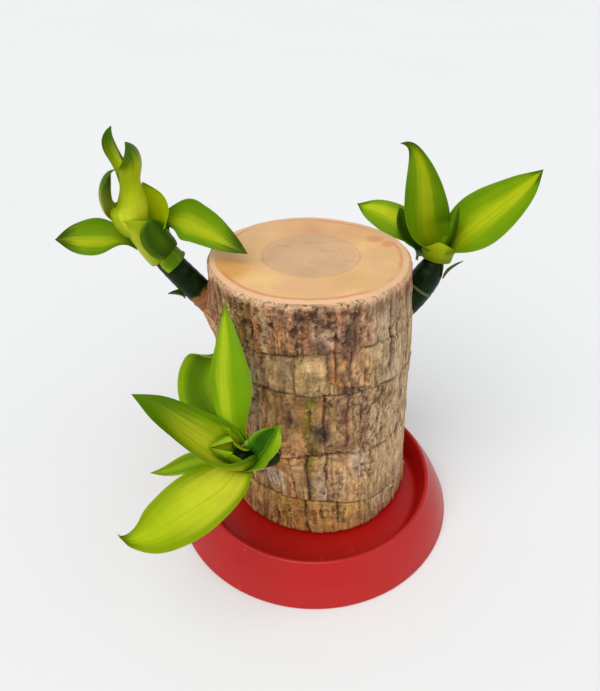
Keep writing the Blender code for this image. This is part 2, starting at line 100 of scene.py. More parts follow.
# Leaves, each named after its stem: at is how far up the stem it starts, side the compass side of
# the stem that it starts on, lift its extra distance from the stem, and aim the (turn, rise) that it
# bends through after it leaves the stem. outline is the share of the full width, curl the half angle
# of the leaf's hollow and roll its turn about its own midrib, each at even steps from the base to
# the tip. fold is how deep its midrib is creased, and wave and waves how far its margins ripple and
# how often. look names its colours in LEAF_LOOKS, stripe is the middle and half width of its pale
# stripe across the leaf, tip how far down the tip's colour reaches and pale_to how far up the base's.
LEAVES = {
    "a_left": dict(
        at=47.2, side=190, length=33, width=16, lift=1.2, fold=.12, wave=.5, waves=2.2,
        aim=((190, 14), (190, 2), (190, 3), (190, 1)), outline=(.45, .6, 1, .97, .7, 0),
        curl=(70, 40, 25, 15), roll=(0, -40, -50, -50),
        look="dark_striped", stripe=(.58, .32), tip=.22),
    "a_right": dict(
        at=33.5, side=20, length=53, width=17.5, fold=.12, wave=.4, waves=1.7,
        aim=((184, 70), (150, 80), (-5, 15), (-15, -8), (-22, -17), (-25, -20), (-25, -20), (-25, -20),
             (-25, -19)),
        outline=(.25, .2, .25, .58, 1, .92, .8, .6, .34, 0), curl=(50, 40, 25, 20, 15),
        roll=(0, 10, 45, 78, 80, 80, 76), look="dark_striped", stripe=(.42, .42), tip=.2),
    "a_sheath": dict(
        at=37.8, side=180, length=49.5, width=46, lift=.3, fold=0,
        aim=((184, 60), (184, 65), (184, 63), (182, 47), (180, 55), (180, 84), (0, 74), (0, 48), (0, 5)),
        outline=(.45, .62, .8, .9, .5, .3, .29, .28, .2, 0),
        curl=(150, 150, 150, 145, 80, 35, 45, 50, 50, 40),
        look="young", stripe=(.5, .6), tip=.3),
    "a_spear": dict(
        at=55, side=80, length=39.5, width=10,
        aim=((0, 84), (0, 88), (180, 85), (180, 75), (180, 68), (180, 84), (0, 62)),
        outline=(.7, .8, .8, .9, 1, .9, 0), curl=(90, 70, 60, 40), roll=(0, -20, -30),
        look="young", stripe=(.5, .6), tip=.3),
    "a_funnel": dict(
        at=50.2, side=0, length=38, width=40, fold=0,
        aim=((0, 80), (0, 88), (180, 76), (180, 86), (0, 72), (180, 88), (180, 56), (180, 24)),
        outline=(.4, .9, .98, .78, .52, .5, .52, .46, 0),
        curl=(150, 164, 164, 150, 130, 120, 90, 60, 40),
        look="cone", stripe=(.5, .6), tip=.25, pale_to=.6),
    # a_back's greens are lightened as painted light.
    "a_back": dict(
        at=41.7, side=20, length=25, width=20, lift=1.6, waves=1.5,
        aim=((150, 74), (175, 71), (175, 72)), outline=(.5, .8, 1, .95, .7, 0), curl=(60, 50, 40),
        roll=(0, 50, 65), look="lemon", stripe=(.5, .5)),
    "a_front": dict(
        at=39.5, side=-38, length=16.5, width=14.5, lift=5.4, fold=.05, wave=.2, waves=1.5,
        aim=((184, 56), (184, 72), (184, 76)), outline=(.65, .95, 1, .92, .7, 0), curl=(55, 45, 40),
        look="deep", stripe=(.5, .3)),
    "a_lip": dict(
        at=32.5, side=-25, length=9, width=17, lift=1, fold=0, wave=.1, waves=1,
        aim=((184, 56), (180, 66)), outline=(.9, 1, .95, .7, 0), curl=(85, 80, 70),
        look="plain", stripe=(.5, .1), pale_to=.9),
    "a_scale": dict(
        at=17.5, side=190, length=8, width=6, fold=.05, wave=.1, waves=1, aim=((190, 10), (190, 0)),
        outline=(.8, .9, .6, 0), curl=(60, 50, 40), look="deep"),
    "b_tall": dict(
        at=37.5, side=145, length=56, width=24.5, lift=.6, fold=.16, wave=.5,
        aim=((174, 72), (174, 80), (172, 82), (172, 80), (170, 75), (170, 60), (170, -15)),
        outline=(.8, .98, 1, .92, .74, .5, .24, 0), curl=(70, 45, 30, 20), roll=(0, -30, -50, -60),
        look="dark_striped", stripe=(.42, .36), tip=.14),
    "b_right": dict(
        at=37, side=-10, length=57.5, width=25.5, fold=.12, wave=.4,
        aim=((-10, 58), (-10, 49), (-10, 47), (-10, 51), (-10, 58)),
        outline=(.55, .8, .98, 1, .9, .7, .42, 0), curl=(70, 30, 20, 15), roll=(0, 45, 60, 60),
        look="striped", stripe=(.5, .34), tip=.05),
    "b_left": dict(
        at=33.5, side=152, length=41.3, width=17, lift=2, fold=.14, wave=.6,
        aim=((155, 45), (150, 31), (150, 18), (150, 8), (150, 15)), outline=(.5, .8, 1, .97, .68, 0),
        curl=(70, 35, 20, 15), roll=(0, -30, -45, -45),
        look="striped", stripe=(.36, .45), tip=.08),
    "b_back": dict(
        at=34, side=160, length=25.5, width=14, lift=1.8, wave=.2, waves=1.5,
        aim=((150, 52), (145, 55), (140, 58)), outline=(.6, .85, 1, .9, .6, 0), curl=(70, 50, 40),
        roll=(0, -40, -60, -65), look="deep"),
    "b_front": dict(
        at=38.4, side=-100, length=10.5, width=18, lift=3.4, fold=.05, wave=.2, waves=1.5,
        aim=((-115, 84), (150, 86)), outline=(.85, .98, 1, .72, .4, 0), curl=(75, 55, 45),
        look="olive", stripe=(.62, .35), tip=.5),
    "b_curl": dict(
        at=38.5, side=-30, length=26, width=9, wave=.2, waves=1.5, aim=((0, 76), (40, 88), (180, 80)),
        outline=(.6, .8, 1, .7, 0), curl=(60, 50, 40), look="deep", tip=.2),
    "b_scale": dict(
        at=30.5, side=-20, length=13, width=5, fold=.05, wave=.1, waves=1, aim=((-20, 50), (-20, 40)),
        outline=(.8, .9, .6, 0), curl=(60, 50, 40), look="deep"),
    "c_tall": dict(
        at=28, side=70, length=62.5, width=19.5, lift=2.4, wave=.5,
        aim=((98, 66), (98, 78), (112, 76), (115, 71)), outline=(.5, .6, .92, 1, .78, .42, 0),
        curl=(70, 45, 30, 20), look="lime", stripe=(.8, .42), tip=.05),
    "c_back": dict(
        at=22, side=115, length=53, width=24, lift=2.4, wave=.4,
        aim=((140, 44), (140, 47), (125, 52), (60, 62), (20, 52), (0, 40)),
        outline=(.5, .75, 1, 1, .92, .65, 0), curl=(70, 40, 25, 20), roll=(0, 0, -8, -15, -20),
        look="shaded", stripe=(.3, .5), tip=.05),
    "c_left": dict(
        at=28.5, side=-152, length=55.5, width=28, lift=.8, fold=.08, wave=.5,
        aim=((188, 49), (185, 52), (185, 53), (186, 40)), outline=(1.1, 1.1, .94, .74, .42, 0),
        curl=(140, 80, 44, 25), roll=(0, -12, -20), look="glow", stripe=(.45, .5), tip=.5),
    # c_front's pale base, reaching three quarters up the leaf, is a painted highlight.
    "c_front": dict(
        at=27, side=-120, length=61, width=25, lift=1.2, fold=.14, wave=.6,
        aim=((-112, 12), (-126, 3), (-138, -6), (-148, -15), (-154, -22), (-158, -21), (-168, 0),
             (80, 88)),
        outline=(.5, .78, .96, 1, .99, .88, .68, .3, 0), curl=(60, 30, 20, 15), roll=(0, -15, -20),
        look="bright", stripe=(.5, .5), pale_to=.75),
    # c_right's dark half is painted shade.
    "c_right": dict(
        at=26.5, side=-30, length=23, width=16, lift=.6, wave=.4, waves=1.5,
        aim=((10, 58), (20, 62), (25, 55), (30, 40)), outline=(.7, .95, 1, .9, .6, 0),
        curl=(70, 60, 50, 40), roll=(0, 30, 50, 40), look="two_tone", stripe=(.15, .5)),
    "c_low": dict(
        at=18, side=180, length=45, width=9, aim=((180, -8), (180, -28), (180, -5)),
        outline=(.6, .8, 1, .7, 0), curl=(60, 40, 30), look="plain"),
    "c_heart": dict(
        at=28, side=180, length=16.5, width=22, fold=0, wave=.2, waves=1.5,
        aim=((188, 52), (188, 44), (-125, 40), (-95, 36)), outline=(.95, .95, 1, 1.05, 1.05, 0),
        curl=(150, 155, 155, 150), look="hollow", stripe=(.5, .5)),
}

LEAF_PAINT = ("look", "stripe", "tip", "pale_to")


def srgb(red, green, blue):
    """Linear colour of three display values from 0 to 255."""
    share = np.array([red, green, blue]) / 255
    return tuple(np.where(share <= 0.04045, share / 12.92, ((share + 0.055) / 1.055) ** 2.4))


# Greens of the leaves: the margin, the blade, the stripe down the middle, the tip and the base.
LEAF_LOOKS = {
    "striped": ((102, 142, 10), (118, 154, 6), (172, 186, 20), (64, 96, 4), (122, 142, 6)),
    "dark_striped": ((88, 128, 8), (102, 136, 6), (154, 168, 14), (46, 72, 4), (112, 130, 4)),
    "young": ((140, 160, 12), (154, 170, 14), (180, 190, 26), (52, 92, 4), (170, 174, 26)),
    "lime": ((110, 148, 6), (116, 156, 6), (168, 188, 30), (90, 122, 6), (98, 136, 4)),
    "glow": ((92, 128, 4), (122, 150, 4), (186, 190, 34), (80, 116, 4), (182, 190, 34)),
    # The pale yellow base of this look is a painted highlight.
    "bright": ((124, 148, 4), (136, 158, 4), (160, 178, 12), (104, 130, 10), (222, 220, 60)),
    "plain": ((128, 158, 14), (96, 136, 8), (136, 160, 18), (104, 132, 8), (74, 112, 6)),
    "shaded": ((128, 158, 14), (72, 108, 6), (112, 144, 12), (110, 142, 10), (38, 72, 4)),
    # A lighter copy of the greens: painted light for a leaf that sits in shade.
    "lemon": ((160, 184, 10), (180, 198, 8), (188, 202, 10), (148, 172, 8), (164, 180, 8)),
    "olive": ((112, 134, 6), (130, 146, 6), (134, 146, 6), (150, 164, 14), (96, 112, 4)),
    "cone": ((132, 152, 8), (140, 158, 8), (164, 178, 14), (46, 86, 4), (198, 202, 48)),
    # One half of the leaf is dark as painted shade, where it folds away into shadow; the lime stripe over
    # the other half is the leaf's own green.
    "two_tone": ((132, 170, 40), (36, 88, 8), (136, 170, 12), (96, 136, 16), (34, 74, 6)),
    # Dark blade and base as painted shade inside the rolled leaf, under a lime margin and stripe.
    "hollow": ((140, 170, 20), (60, 104, 6), (128, 160, 16), (140, 168, 18), (44, 84, 4)),
    # Dark greens: partly the leaves' own darker green, partly painted shade for leaves that sit in
    # shadow.
    "deep": ((66, 100, 6), (40, 70, 4), (52, 82, 4), (60, 96, 6), (30, 56, 4)),
}

# Bark between the ring scars, from the foot up: two colours that its plates range between, how
# crumbly it is and how many upright cracks part it.
BARK_BANDS = (
    dict(light=srgb(214, 166, 92), dark=srgb(164, 112, 52), crumble=.35, cracks=34),
    dict(light=srgb(200, 166, 116), dark=srgb(164, 110, 56), crumble=.45, cracks=38),
    dict(light=srgb(188, 150, 90), dark=srgb(120, 78, 38), crumble=1, cracks=40),
    dict(light=srgb(194, 162, 112), dark=srgb(148, 112, 66), crumble=.5, cracks=44),
    dict(light=srgb(172, 124, 88), dark=srgb(94, 50, 34), crumble=1, cracks=42),
)

# Noise in the bark: its cells round the log, their height in mm, its seed and its layers.
BARK_NOISE = {
    "sway": (12, 26, 3), "jitter": (70, 5, 11), "fibres": (170, 12, 31), "lumps": (44, 6, 57, 2),
    "crumbs": (130, 3.0, 51, 2), "short": (36, 6, 33), "clouds": (9, 22, 91),
}

# Masks from such noise: 0 where it is below the first share, 1 above the second. They say where a
# plate's crack is open, where fine and cross cracks and ring scars show, and where the bark is
# crumbly, pitted or flecked.
BARK_MASKS = {
    "open": ((30, 12, 21), (0.36, 0.56)), "fine": ((40, 7, 25), (0.42, 0.62)),
    "cross": ((22, 11, 35), (0.5, 0.66)), "scarred": ((16, 40, 71), (0.3, 0.6)),
    "crumbly": ((14, 16, 81), (0.3, 0.62)), "pitted": ((130, 3.0, 51, 2), (0.57, 0.73)),
    "flecked": ((140, 4.5, 101, 2), (0.62, 0.78)),
}

# Slivers that fine cracks split the bark into, all round the log.
SLIVERS = 110

BARK_COLOURS = {
    "orange": srgb(210, 130, 62), "rust": srgb(116, 46, 20), "olive": srgb(146, 122, 34),
    "grey": srgb(198, 174, 150), "dark": srgb(60, 40, 32), "beige": srgb(206, 178, 142),
    "tan": srgb(196, 128, 82), "buff": srgb(180, 150, 118), "fleck": srgb(214, 176, 138),
    "young": srgb(216, 150, 92), "pit": srgb(64, 36, 22), "crack": srgb(52, 28, 16),
    # The last colour is the painted highlight along the bark's sawn top edge.
    "lit_rim": srgb(214, 170, 132),
}

# Stains on the sawn top: place from the bowl's centre in mm, reach and colour.
CUT_STAINS = (
    ((-36, -7), 15, srgb(214, 148, 48)), ((-2, 35), 6, srgb(210, 136, 88)),
    ((25, 25), 5, srgb(218, 138, 92)), ((31, 20), 4, srgb(218, 138, 92)),
    ((14, -16), 12, srgb(222, 176, 112)), ((-20, 3), 4, srgb(216, 156, 96)),
    ((4, 34), 26, srgb(216, 162, 112)),
)

# Streaks and patches on the bark: colour, turn round the log, lowest and highest point, half width
# and strength.
STREAKS = (
    ("olive", -128, 114, 136, 14, .55), ("beige", -48, 114, 138, 12, .5),
    ("orange", -75, 97, 114, 2.6, 1), ("orange", -66, 36, 60, 3.0, .8), ("orange", -59, 98, 126, 1.8, .7),
    # The narrow dark streak at -70 degrees, inside the rust one, is painted shade down a crack; it cuts
    # no relief.
    ("rust", -70, 64, 130, 1.9, 1.2), ("dark", -70, 66, 124, .8, 1.1), ("rust", -66, 112, 132, 3.2, .8),
    ("rust", -112, 52, 62, 5.0, .9), ("olive", -91, 35, 95, 2.3, 1.2), ("olive", -57, 12, 60, 1.8, .9),
    ("olive", -98, 98, 115, 2.2, .6), ("grey", -84, 36, 50, 5.0, 1), ("grey", -115, 39, 50, 6.5, 1.2),
    ("grey", -64, 44, 62, 4.0, 1), ("grey", -80, 118, 130, 5.0, .5), ("dark", -84, 70, 80, 4.5, .9),
    ("dark", -102, 78, 88, 4.0, .7), ("dark", -68, 116, 135, 1.6, 1), ("beige", -124, 62, 108, 2.6, .9),
    ("beige", -34, 12, 130, 22, .75), ("beige", -148, 84, 124, 5, .8), ("beige", 40, 30, 110, 12, .4),
    ("olive", 80, 30, 96, 3.0, .6), ("orange", 120, 60, 112, 3.0, .6), ("grey", 150, 40, 60, 8.0, .6),
    ("rust", 100, 64, 130, 1.4, .9), ("dark", 165, 90, 100, 5.0, .6), ("olive", 190, 20, 60, 2.4, .6),
    ("rust", 20, 30, 90, 1.2, .8), ("orange", -5, 98, 128, 2.4, .4),
)


class BowlSettings(bpy.types.PropertyGroup):
    height: FloatProperty(name="Height", description="Height of the bowl's lip",
                          default=BOWL_HIGH.z, unit="LENGTH")
    foot_radius: FloatProperty(name="Foot radius", description="Radius of the flared foot",
                               default=(BOWL_HIGH.x - BOWL_LOW.x) / 2, unit="LENGTH")
    rim_radius: FloatProperty(name="Rim radius", description="Radius of the lip, measured outside",
                              default=0.0595, unit="LENGTH")
    floor_top: FloatProperty(name="Floor height", description="Height of the inside floor",
                             default=0.008, unit="LENGTH")
    wall: FloatProperty(name="Wall", description="Thickness of the moulded wall", default=0.002,
                        unit="LENGTH")
    colour: FloatVectorProperty(name="Plastic", description="Colour of the plastic", subtype="COLOR",
                                default=srgb(176, 20, 18), min=0, max=1)


class LogSettings(bpy.types.PropertyGroup):
    base_radius: FloatProperty(name="Foot radius", description="Radius of the log at its foot",
                               default=0.0441, unit="LENGTH")
    top_radius: FloatProperty(name="Top radius", description="Radius of the log at its sawn top",
                              default=0.04315, unit="LENGTH")
    top_height: FloatProperty(name="Height", description="Height of the sawn top above the ground",
                              default=0.1385, unit="LENGTH")
    crack_depth: FloatProperty(name="Crack depth",
                               description="Depth of the cracks between the bark's plates",
                               default=0.0011, unit="LENGTH")
    columns: IntProperty(name="Columns", description="Points round the log", default=400, min=60)
    sapwood: FloatVectorProperty(name="Sapwood", description="Colour of the sawn wood", subtype="COLOR",
                                 default=srgb(226, 178, 124), min=0, max=1)
    heartwood: FloatVectorProperty(name="Heartwood", description="Colour of the wood round the pith",
                                   subtype="COLOR", default=srgb(204, 164, 124), min=0, max=1)
    inner_bark: FloatVectorProperty(name="Inner bark",
                                    description="Colour of the pale ring under the bark",
                                    subtype="COLOR", default=srgb(230, 184, 142), min=0, max=1)


class ShootSettings(bpy.types.PropertyGroup):
    leaf_thickness: FloatProperty(name="Leaf thickness", description="Thickness of a leaf at its midrib",
                                  default=0.0007, unit="LENGTH")
    stem_colour: FloatVectorProperty(name="Stem", description="Colour of the stems", subtype="COLOR",
                                     default=srgb(10, 24, 8), min=0, max=1)
    scar_colour: FloatVectorProperty(name="Leaf scar", description="Colour of the rings on the stems",
                                     subtype="COLOR", default=srgb(150, 160, 104), min=0, max=1)


class StageSettings(bpy.types.PropertyGroup):
    floor: FloatVectorProperty(name="Floor", description="Colour of the floor", subtype="COLOR",
                               default=(0.82, 0.82, 0.82), min=0, max=1)
    key: FloatProperty(name="Key light", description="Strength of the main soft light", default=1.9)
    fill: FloatProperty(name="Fill light", description="Strength of the light on the other side",
                        default=0.4)
    sky: FloatProperty(name="Sky", description="Strength of the even light from all round", default=0.58)
    lens: FloatProperty(name="Lens", description="Focal length of the camera in millimetres",
                        default=33.6)


def unit(v):
    return v / np.linalg.norm(v, axis=-1, keepdims=True)


def smooth_step(x, low=0.0, high=1.0):
    """Rises from 0 at low to 1 at high with no corner: 3x^2 - 2x^3 between them."""
    x = np.clip((x - low) / (high - low), 0, 1)
    return x * x * (3 - 2 * x)


def bump(distance, width):
    """Bell curve of the distance, 1 at 0."""
    return np.exp(-((distance / width) ** 2))


def mix(a, b, share):
    """Colours from a to b by a share at each point."""
    return a + (np.asarray(b) - a) * share[..., None]


def direction(turn, rise):
    """Unit vector that heads turn degrees round from +X and climbs rise degrees."""
    t, r = np.radians(turn), np.radians(rise)
    return np.stack([np.cos(r) * np.cos(t), np.cos(r) * np.sin(t), np.sin(r)], -1)


def along(values, u):
    """Smooth curve through values at even steps, read at the shares u of its length."""
    v = np.array(values, float)
    n = len(v) - 1
    if n == 0:
        return np.repeat(v, len(u), axis=0)
    p = np.concatenate([[2 * v[0] - v[1]], v, [2 * v[-1] - v[-2]]])
    x = np.clip(u, 0, 1) * n
    k = np.clip(np.floor(x).astype(int), 0, n - 1)
    t = x - k
    if v.ndim > 1:
        t = t[:, None]
    a, b, c, d = p[k], p[k + 1], p[k + 2], p[k + 3]
    return b + t / 2 * (c - a) + t**2 * (a - 2.5 * b + 2 * c - d / 2) + t**3 * (3 * (b - c) + d - a) / 2


def walk(start, headings, length):
    """Points of a path that starts at start and follows the headings for length."""
    step = length / (len(headings) - 1)
    steps = (headings[1:] + headings[:-1]) / 2 * step
    return np.array(start, float) + np.vstack([np.zeros(3), np.cumsum(steps, 0)])


def grid_quads(rows, columns, closed):
    """Quads of a grid of points, the last column joined to the first where it is closed."""
    r = np.arange(rows - 1)[:, None] * columns
    c = np.arange(columns if closed else columns - 1)[None]
    d = (c + 1) % columns
    return np.stack([r + c, r + d, r + columns + d, r + columns + c], -1).reshape(-1, 4)


def fan(ring, pole):
    """Triangles from a ring of point numbers to one pole."""
    return [(int(a), int(b), pole) for a, b in zip(ring, np.roll(ring, -1))]


def capped_grid(points, first_pole, last_pole):
    """Points and faces of a grid closed round, with a pole at each end."""
    rows, columns = points.shape[:2]
    everything = np.vstack([points.reshape(-1, 3), first_pole, last_pole])
    faces = grid_quads(rows, columns, True).tolist()
    last = (rows - 1) * columns
    faces += fan(np.arange(columns)[::-1], rows * columns)
    faces += fan(np.arange(last, last + columns), rows * columns + 1)
    return everything, faces


def new_piece(name, points, faces, materials, node):
    """Smooth mesh piece that stands for a node of the frame, from points in millimetres."""
    mesh = bpy.data.meshes.new(name)
    mesh.from_pydata((points * MM + BOWL_CENTRE).tolist(), [], faces)
    for material in materials:
        mesh.materials.append(material)
    mesh.shade_smooth()
    piece = bpy.data.objects.new(name, mesh)
    bpy.context.scene.collection.objects.link(piece)
    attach(piece, BODY)
    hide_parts(node)
    return piece


def set_values(piece, name, values):
    """Stores one number or colour for each point of a piece, for its material to read."""
    values = np.asarray(values, np.float32)
    if values.ndim == 1:
        attribute = piece.data.attributes.new(name, "FLOAT", "POINT")
        attribute.data.foreach_set("value", values)
    else:
        attribute = piece.data.attributes.new(name, "FLOAT_COLOR", "POINT")
        rgba = np.concatenate([values, np.ones((len(values), 1), np.float32)], 1)
        attribute.data.foreach_set("color", rgba.ravel())


def set_uv(piece, rows, columns, extra):
    """Lays a UV map on a piece that is a grid of rows and columns of points and a few extra ones."""
    uv = np.stack(np.meshgrid(rows, columns, indexing="ij"), -1).reshape(-1, 2)
    layer = piece.data.uv_layers.new(name="surface")
    corners = np.empty(len(piece.data.loops), np.int32)
    piece.data.loops.foreach_get("vertex_index", corners)
    layer.data.foreach_set("uv", np.vstack([uv, extra])[corners].astype(np.float32).ravel())


# Shader helpers


class Nodes:
    """Shader nodes added to one tree; their inputs take values or other nodes' outputs."""

    def __init__(self, tree):
        self.tree = tree

    def set(self, socket, value):
        if isinstance(value, bpy.types.NodeSocket):
            self.tree.links.new(value, socket)
        else:
            socket.default_value = value

    def add(self, kind, inputs=None, **settings):
        """Outputs of a new node with its settings made and its inputs set by name or number."""
        made = self.tree.nodes.new("ShaderNode" + kind)
        for name, value in settings.items():
            setattr(made, name, value)
        for key, value in (inputs or {}).items():
            self.set(made.inputs[key], value)
        return made.outputs

    def math(self, operation, *values):
        return self.add("Math", dict(enumerate(values)), operation=operation)[0]

    def times(self, a, b):
        return self.math("MULTIPLY", a, b)

    def span(self, value, low, high, to_low=0.0, to_high=1.0):
        """Goes smoothly from to_low to to_high as a value goes from low to high."""
        inputs = {"Value": value, "From Min": low, "From Max": high, "To Min": to_low, "To Max": to_high}
        return self.add("MapRange", inputs, interpolation_type="SMOOTHSTEP")[0]

    def stripe(self, value, low, full, fall, high):
        """1 while a value is between full and fall, and 0 below low and above high."""
        return self.times(self.span(value, low, full), self.span(value, fall, high, 1.0, 0.0))

    def blend(self, share, a, b, blend_type="MIX"):
        """Colour from a to b by a share; each is a socket or three numbers."""
        a, b = (c if isinstance(c, bpy.types.NodeSocket) else (*c, 1) for c in (a, b))
        return self.add("Mix", {"Factor": share, 6: a, 7: b}, data_type="RGBA", blend_type=blend_type)[2]

    def noise(self, vector, scale, detail):
        return self.add("TexNoise", {"Vector": vector, "Scale": scale, "Detail": detail})["Fac"]

    def group(self, name, vector, **values):
        """Outputs of the shared node group of that name, built the first time it is asked for."""
        made = self.tree.nodes.new("ShaderNodeGroup")
        made.node_tree = bpy.data.node_groups.get(name) or GROUP_MAKERS[name]()
        for label, value in dict(values, vector=vector).items():
            self.set(made.inputs[label.capitalize()], value)
        return made.outputs


class Paint(Nodes):
    """A material with a Principled shader, whose base colour is laid on in coats."""

    def __init__(self, name, colour, roughness=0.5, specular=0.5, specular_tint=(1, 1, 1)):
        self.material = bpy.data.materials.new(name)
        self.material.use_nodes = True
        super().__init__(self.material.node_tree)
        self.shader = self.tree.nodes["Principled BSDF"].inputs
        self.set(self.shader["Roughness"], roughness)
        self.set(self.shader["Specular IOR Level"], specular)
        self.set(self.shader["Specular Tint"], (*specular_tint, 1))
        self.colour = colour

    def place(self):
        return self.add("TexCoord")["Object"]

    def uv(self):
        return self.add("UVMap", uv_map="surface")[0]

    def stored(self, name, output="Fac"):
        return self.add("Attribute", attribute_name=name)[output]

    def coat(self, share, colour):
        """Lays a colour over the base colour by a share."""
        self.colour = self.blend(share, self.colour, colour)

    def vary(self, value):
        """Multiplies the base colour by a value."""
        self.colour = self.blend(1.0, self.colour, value, "MULTIPLY")

    def finish(self, roughness, height, depth, strength):
        """Links the colour and roughness, and a bump from a height that stands depth metres proud."""
        bumped = self.add("Bump", {"Height": height, "Distance": depth, "Strength": strength})[0]
        for label, value in {"Base Color": self.colour, "Roughness": roughness, "Normal": bumped}.items():
            self.set(self.shader[label], value)
        return self.material


def new_group(name, floats, outputs):
    """Empty shader node group of a vector and floats: its nodes, what it is given and its results."""
    tree = bpy.data.node_groups.new(name, "ShaderNodeTree")
    tree.interface.new_socket(name="Vector", in_out="INPUT", socket_type="NodeSocketVector")
    for label, value in floats.items():
        socket = tree.interface.new_socket(name=label, in_out="INPUT", socket_type="NodeSocketFloat")
        socket.default_value = value
    for label in outputs:
        tree.interface.new_socket(name=label, in_out="OUTPUT", socket_type="NodeSocketFloat")
    given, result = tree.nodes.new("NodeGroupInput").outputs, tree.nodes.new("NodeGroupOutput").inputs
    return Nodes(tree), given, result


def mottle_group():
    """Soft cloudy change over a surface, as a value about 1 that multiplies a colour."""
    nodes, given, result = new_group("mottle", {"Scale": 100.0, "Amount": 0.1}, ("Value", "Cloud"))
    cloud = nodes.noise(given["Vector"], given["Scale"], 4.0)
    centred = nodes.math("SUBTRACT", cloud, 0.5)
    swing = nodes.times(nodes.times(centred, 4.0), given["Amount"])
    nodes.set(result["Value"], nodes.math("ADD", swing, 1.0))
    nodes.set(result["Cloud"], cloud)
    return nodes.tree


def fibre_group():
    """Fine lines that run along the vector's X axis, from 0 to 1."""
    nodes, given, result = new_group(
        "fibres", {"Along": 1.0, "Across": 40.0, "Seed": 0.0}, ("Lines", "Fine"))
    parts = nodes.add("SeparateXYZ", {"Vector": given["Vector"]})
    x, y = nodes.times(parts["X"], given["Along"]), nodes.times(parts["Y"], given["Across"])
    at = nodes.add("CombineXYZ", {"X": x, "Y": y, "Z": given["Seed"]})[0]
    finer = nodes.add("Mapping", {"Vector": at, "Scale": (2, 3.7, 1)})[0]
    nodes.set(result["Lines"], nodes.noise(at, 1.0, 2.0))
    nodes.set(result["Fine"], nodes.noise(finer, 1.0, 2.0))
    return nodes.tree


def speck_group():
    """Small separate specks, 1 inside a speck and 0 between, thinned out by the amount."""
    nodes, given, result = new_group("specks", {"Scale": 900.0, "Amount": 0.3}, ("Mask",))
    cells = nodes.add("TexVoronoi", {"Vector": given["Vector"], "Scale": given["Scale"]})
    near = nodes.span(cells["Distance"], 0.15, 0.45, 1.0, 0.0)
    pick = nodes.add("SeparateColor", {"Color": cells["Color"]})["Red"]
    nodes.set(result["Mask"], nodes.times(near, nodes.math("LESS_THAN", pick, given["Amount"])))
    return nodes.tree


GROUP_MAKERS = {"mottle": mottle_group, "fibres": fibre_group, "specks": speck_group}


# Bowl


def arc(centre, radius, start, end, count):
    """Points of an arc about a centre in the profile plane, angles in degrees."""
    angles = np.radians(np.linspace(start, end, count))
    return np.stack([centre[0] + radius * np.cos(angles), centre[1] + radius * np.sin(angles)], -1)


def level(start, end, height, count):
    """Points of a level line in the profile plane."""
    return np.stack([np.linspace(start, end, count), np.full(count, height)], -1)


def bowl_profile(bowl):
    """Half section from the middle of the floor out over the lip and back underneath, in mm.

    The floor rises to the wall in a fillet, the wall to a round lip, and the outside falls in a
    gentle S to the foot. The underside follows one wall's thickness inside.
    """
    lip, fillet, foot_round, edge_round = 1.2, 3.0, 0.8, 0.3
    wall_width, floor_thickness, foot_width, bow, middle = 7.9, 2.5, 2.2, 0.9, 0.4
    rim, foot, height = bowl.rim_radius / MM, bowl.foot_radius / MM, bowl.height / MM
    floor, wall = bowl.floor_top / MM, bowl.wall / MM
    corner = (rim - wall_width, floor + fillet)
    share = np.linspace(0, 1, 14)[1:-1]
    lip_end = math.radians(20)
    top_x, top_z = rim - lip + lip * math.cos(lip_end), height - lip + lip * math.sin(lip_end)
    outside_x = top_x + (foot - foot_round * 0.2 - top_x) * share + bow * np.sin(math.pi * share)
    outside_z = top_z + (foot_round - top_z) * share
    return np.vstack([
        level(middle, corner[0] - 1, floor, 24),
        arc(corner, fillet, -90, -10, 9),
        arc((rim - lip, height - lip), lip, 170, 20, 13),
        np.stack([outside_x, outside_z], -1),
        arc((foot - foot_round, foot_round), foot_round, 10, -90, 7),
        arc((foot - foot_width + edge_round, edge_round), edge_round, -90, -180, 4),
        np.stack([outside_x - wall - 0.2, outside_z], -1)[::-1][1:],
        arc(corner, fillet + wall, -5, -90, 8),
        level(corner[0] - 3, middle, floor - floor_thickness, 12),
    ])


def bowl_material(bowl):
    """Glossy moulded plastic: slight clouding, fine scuffs and a few dust specks."""
    plastic = Paint("red_plastic", bowl.colour, specular=0.35)
    place = plastic.place()
    cloud = plastic.group("mottle", place, scale=45.0, amount=0.05)
    scuffs = plastic.group("fibres", place, along=700.0, across=60.0)["Fine"]
    dust = plastic.group("specks", place, scale=420.0, amount=0.02)["Mask"]
    plastic.vary(cloud["Value"])
    plastic.coat(plastic.times(dust, 0.10), srgb(226, 150, 140))
    return plastic.finish(plastic.math("MULTIPLY_ADD", scuffs, 0.05, 0.28), cloud["Cloud"], 0.0004, 0.25)


class WOODPLANT_OT_bowl(bpy.types.Operator):
    """Turns the bowl's profile round its axis"""

    bl_idname = "wood_plant.bowl"
    bl_label = "Bowl"

    def execute(self, context):
        bowl = context.scene.wood_plant_bowl
        profile = bowl_profile(bowl)[::-1]
        turn = np.linspace(0, 2 * math.pi, 192, endpoint=False)
        radius, height = profile[:, :1], profile[:, 1:]
        points = np.stack([radius * np.cos(turn), radius * np.sin(turn), height + 0 * turn], -1)
        points, faces = capped_grid(points, *((0, 0, profile[end, 1]) for end in (0, -1)))
        new_piece("plastic_bowl", points, faces, [bowl_material(bowl)], "bowl")
        return {"FINISHED"}


# Log


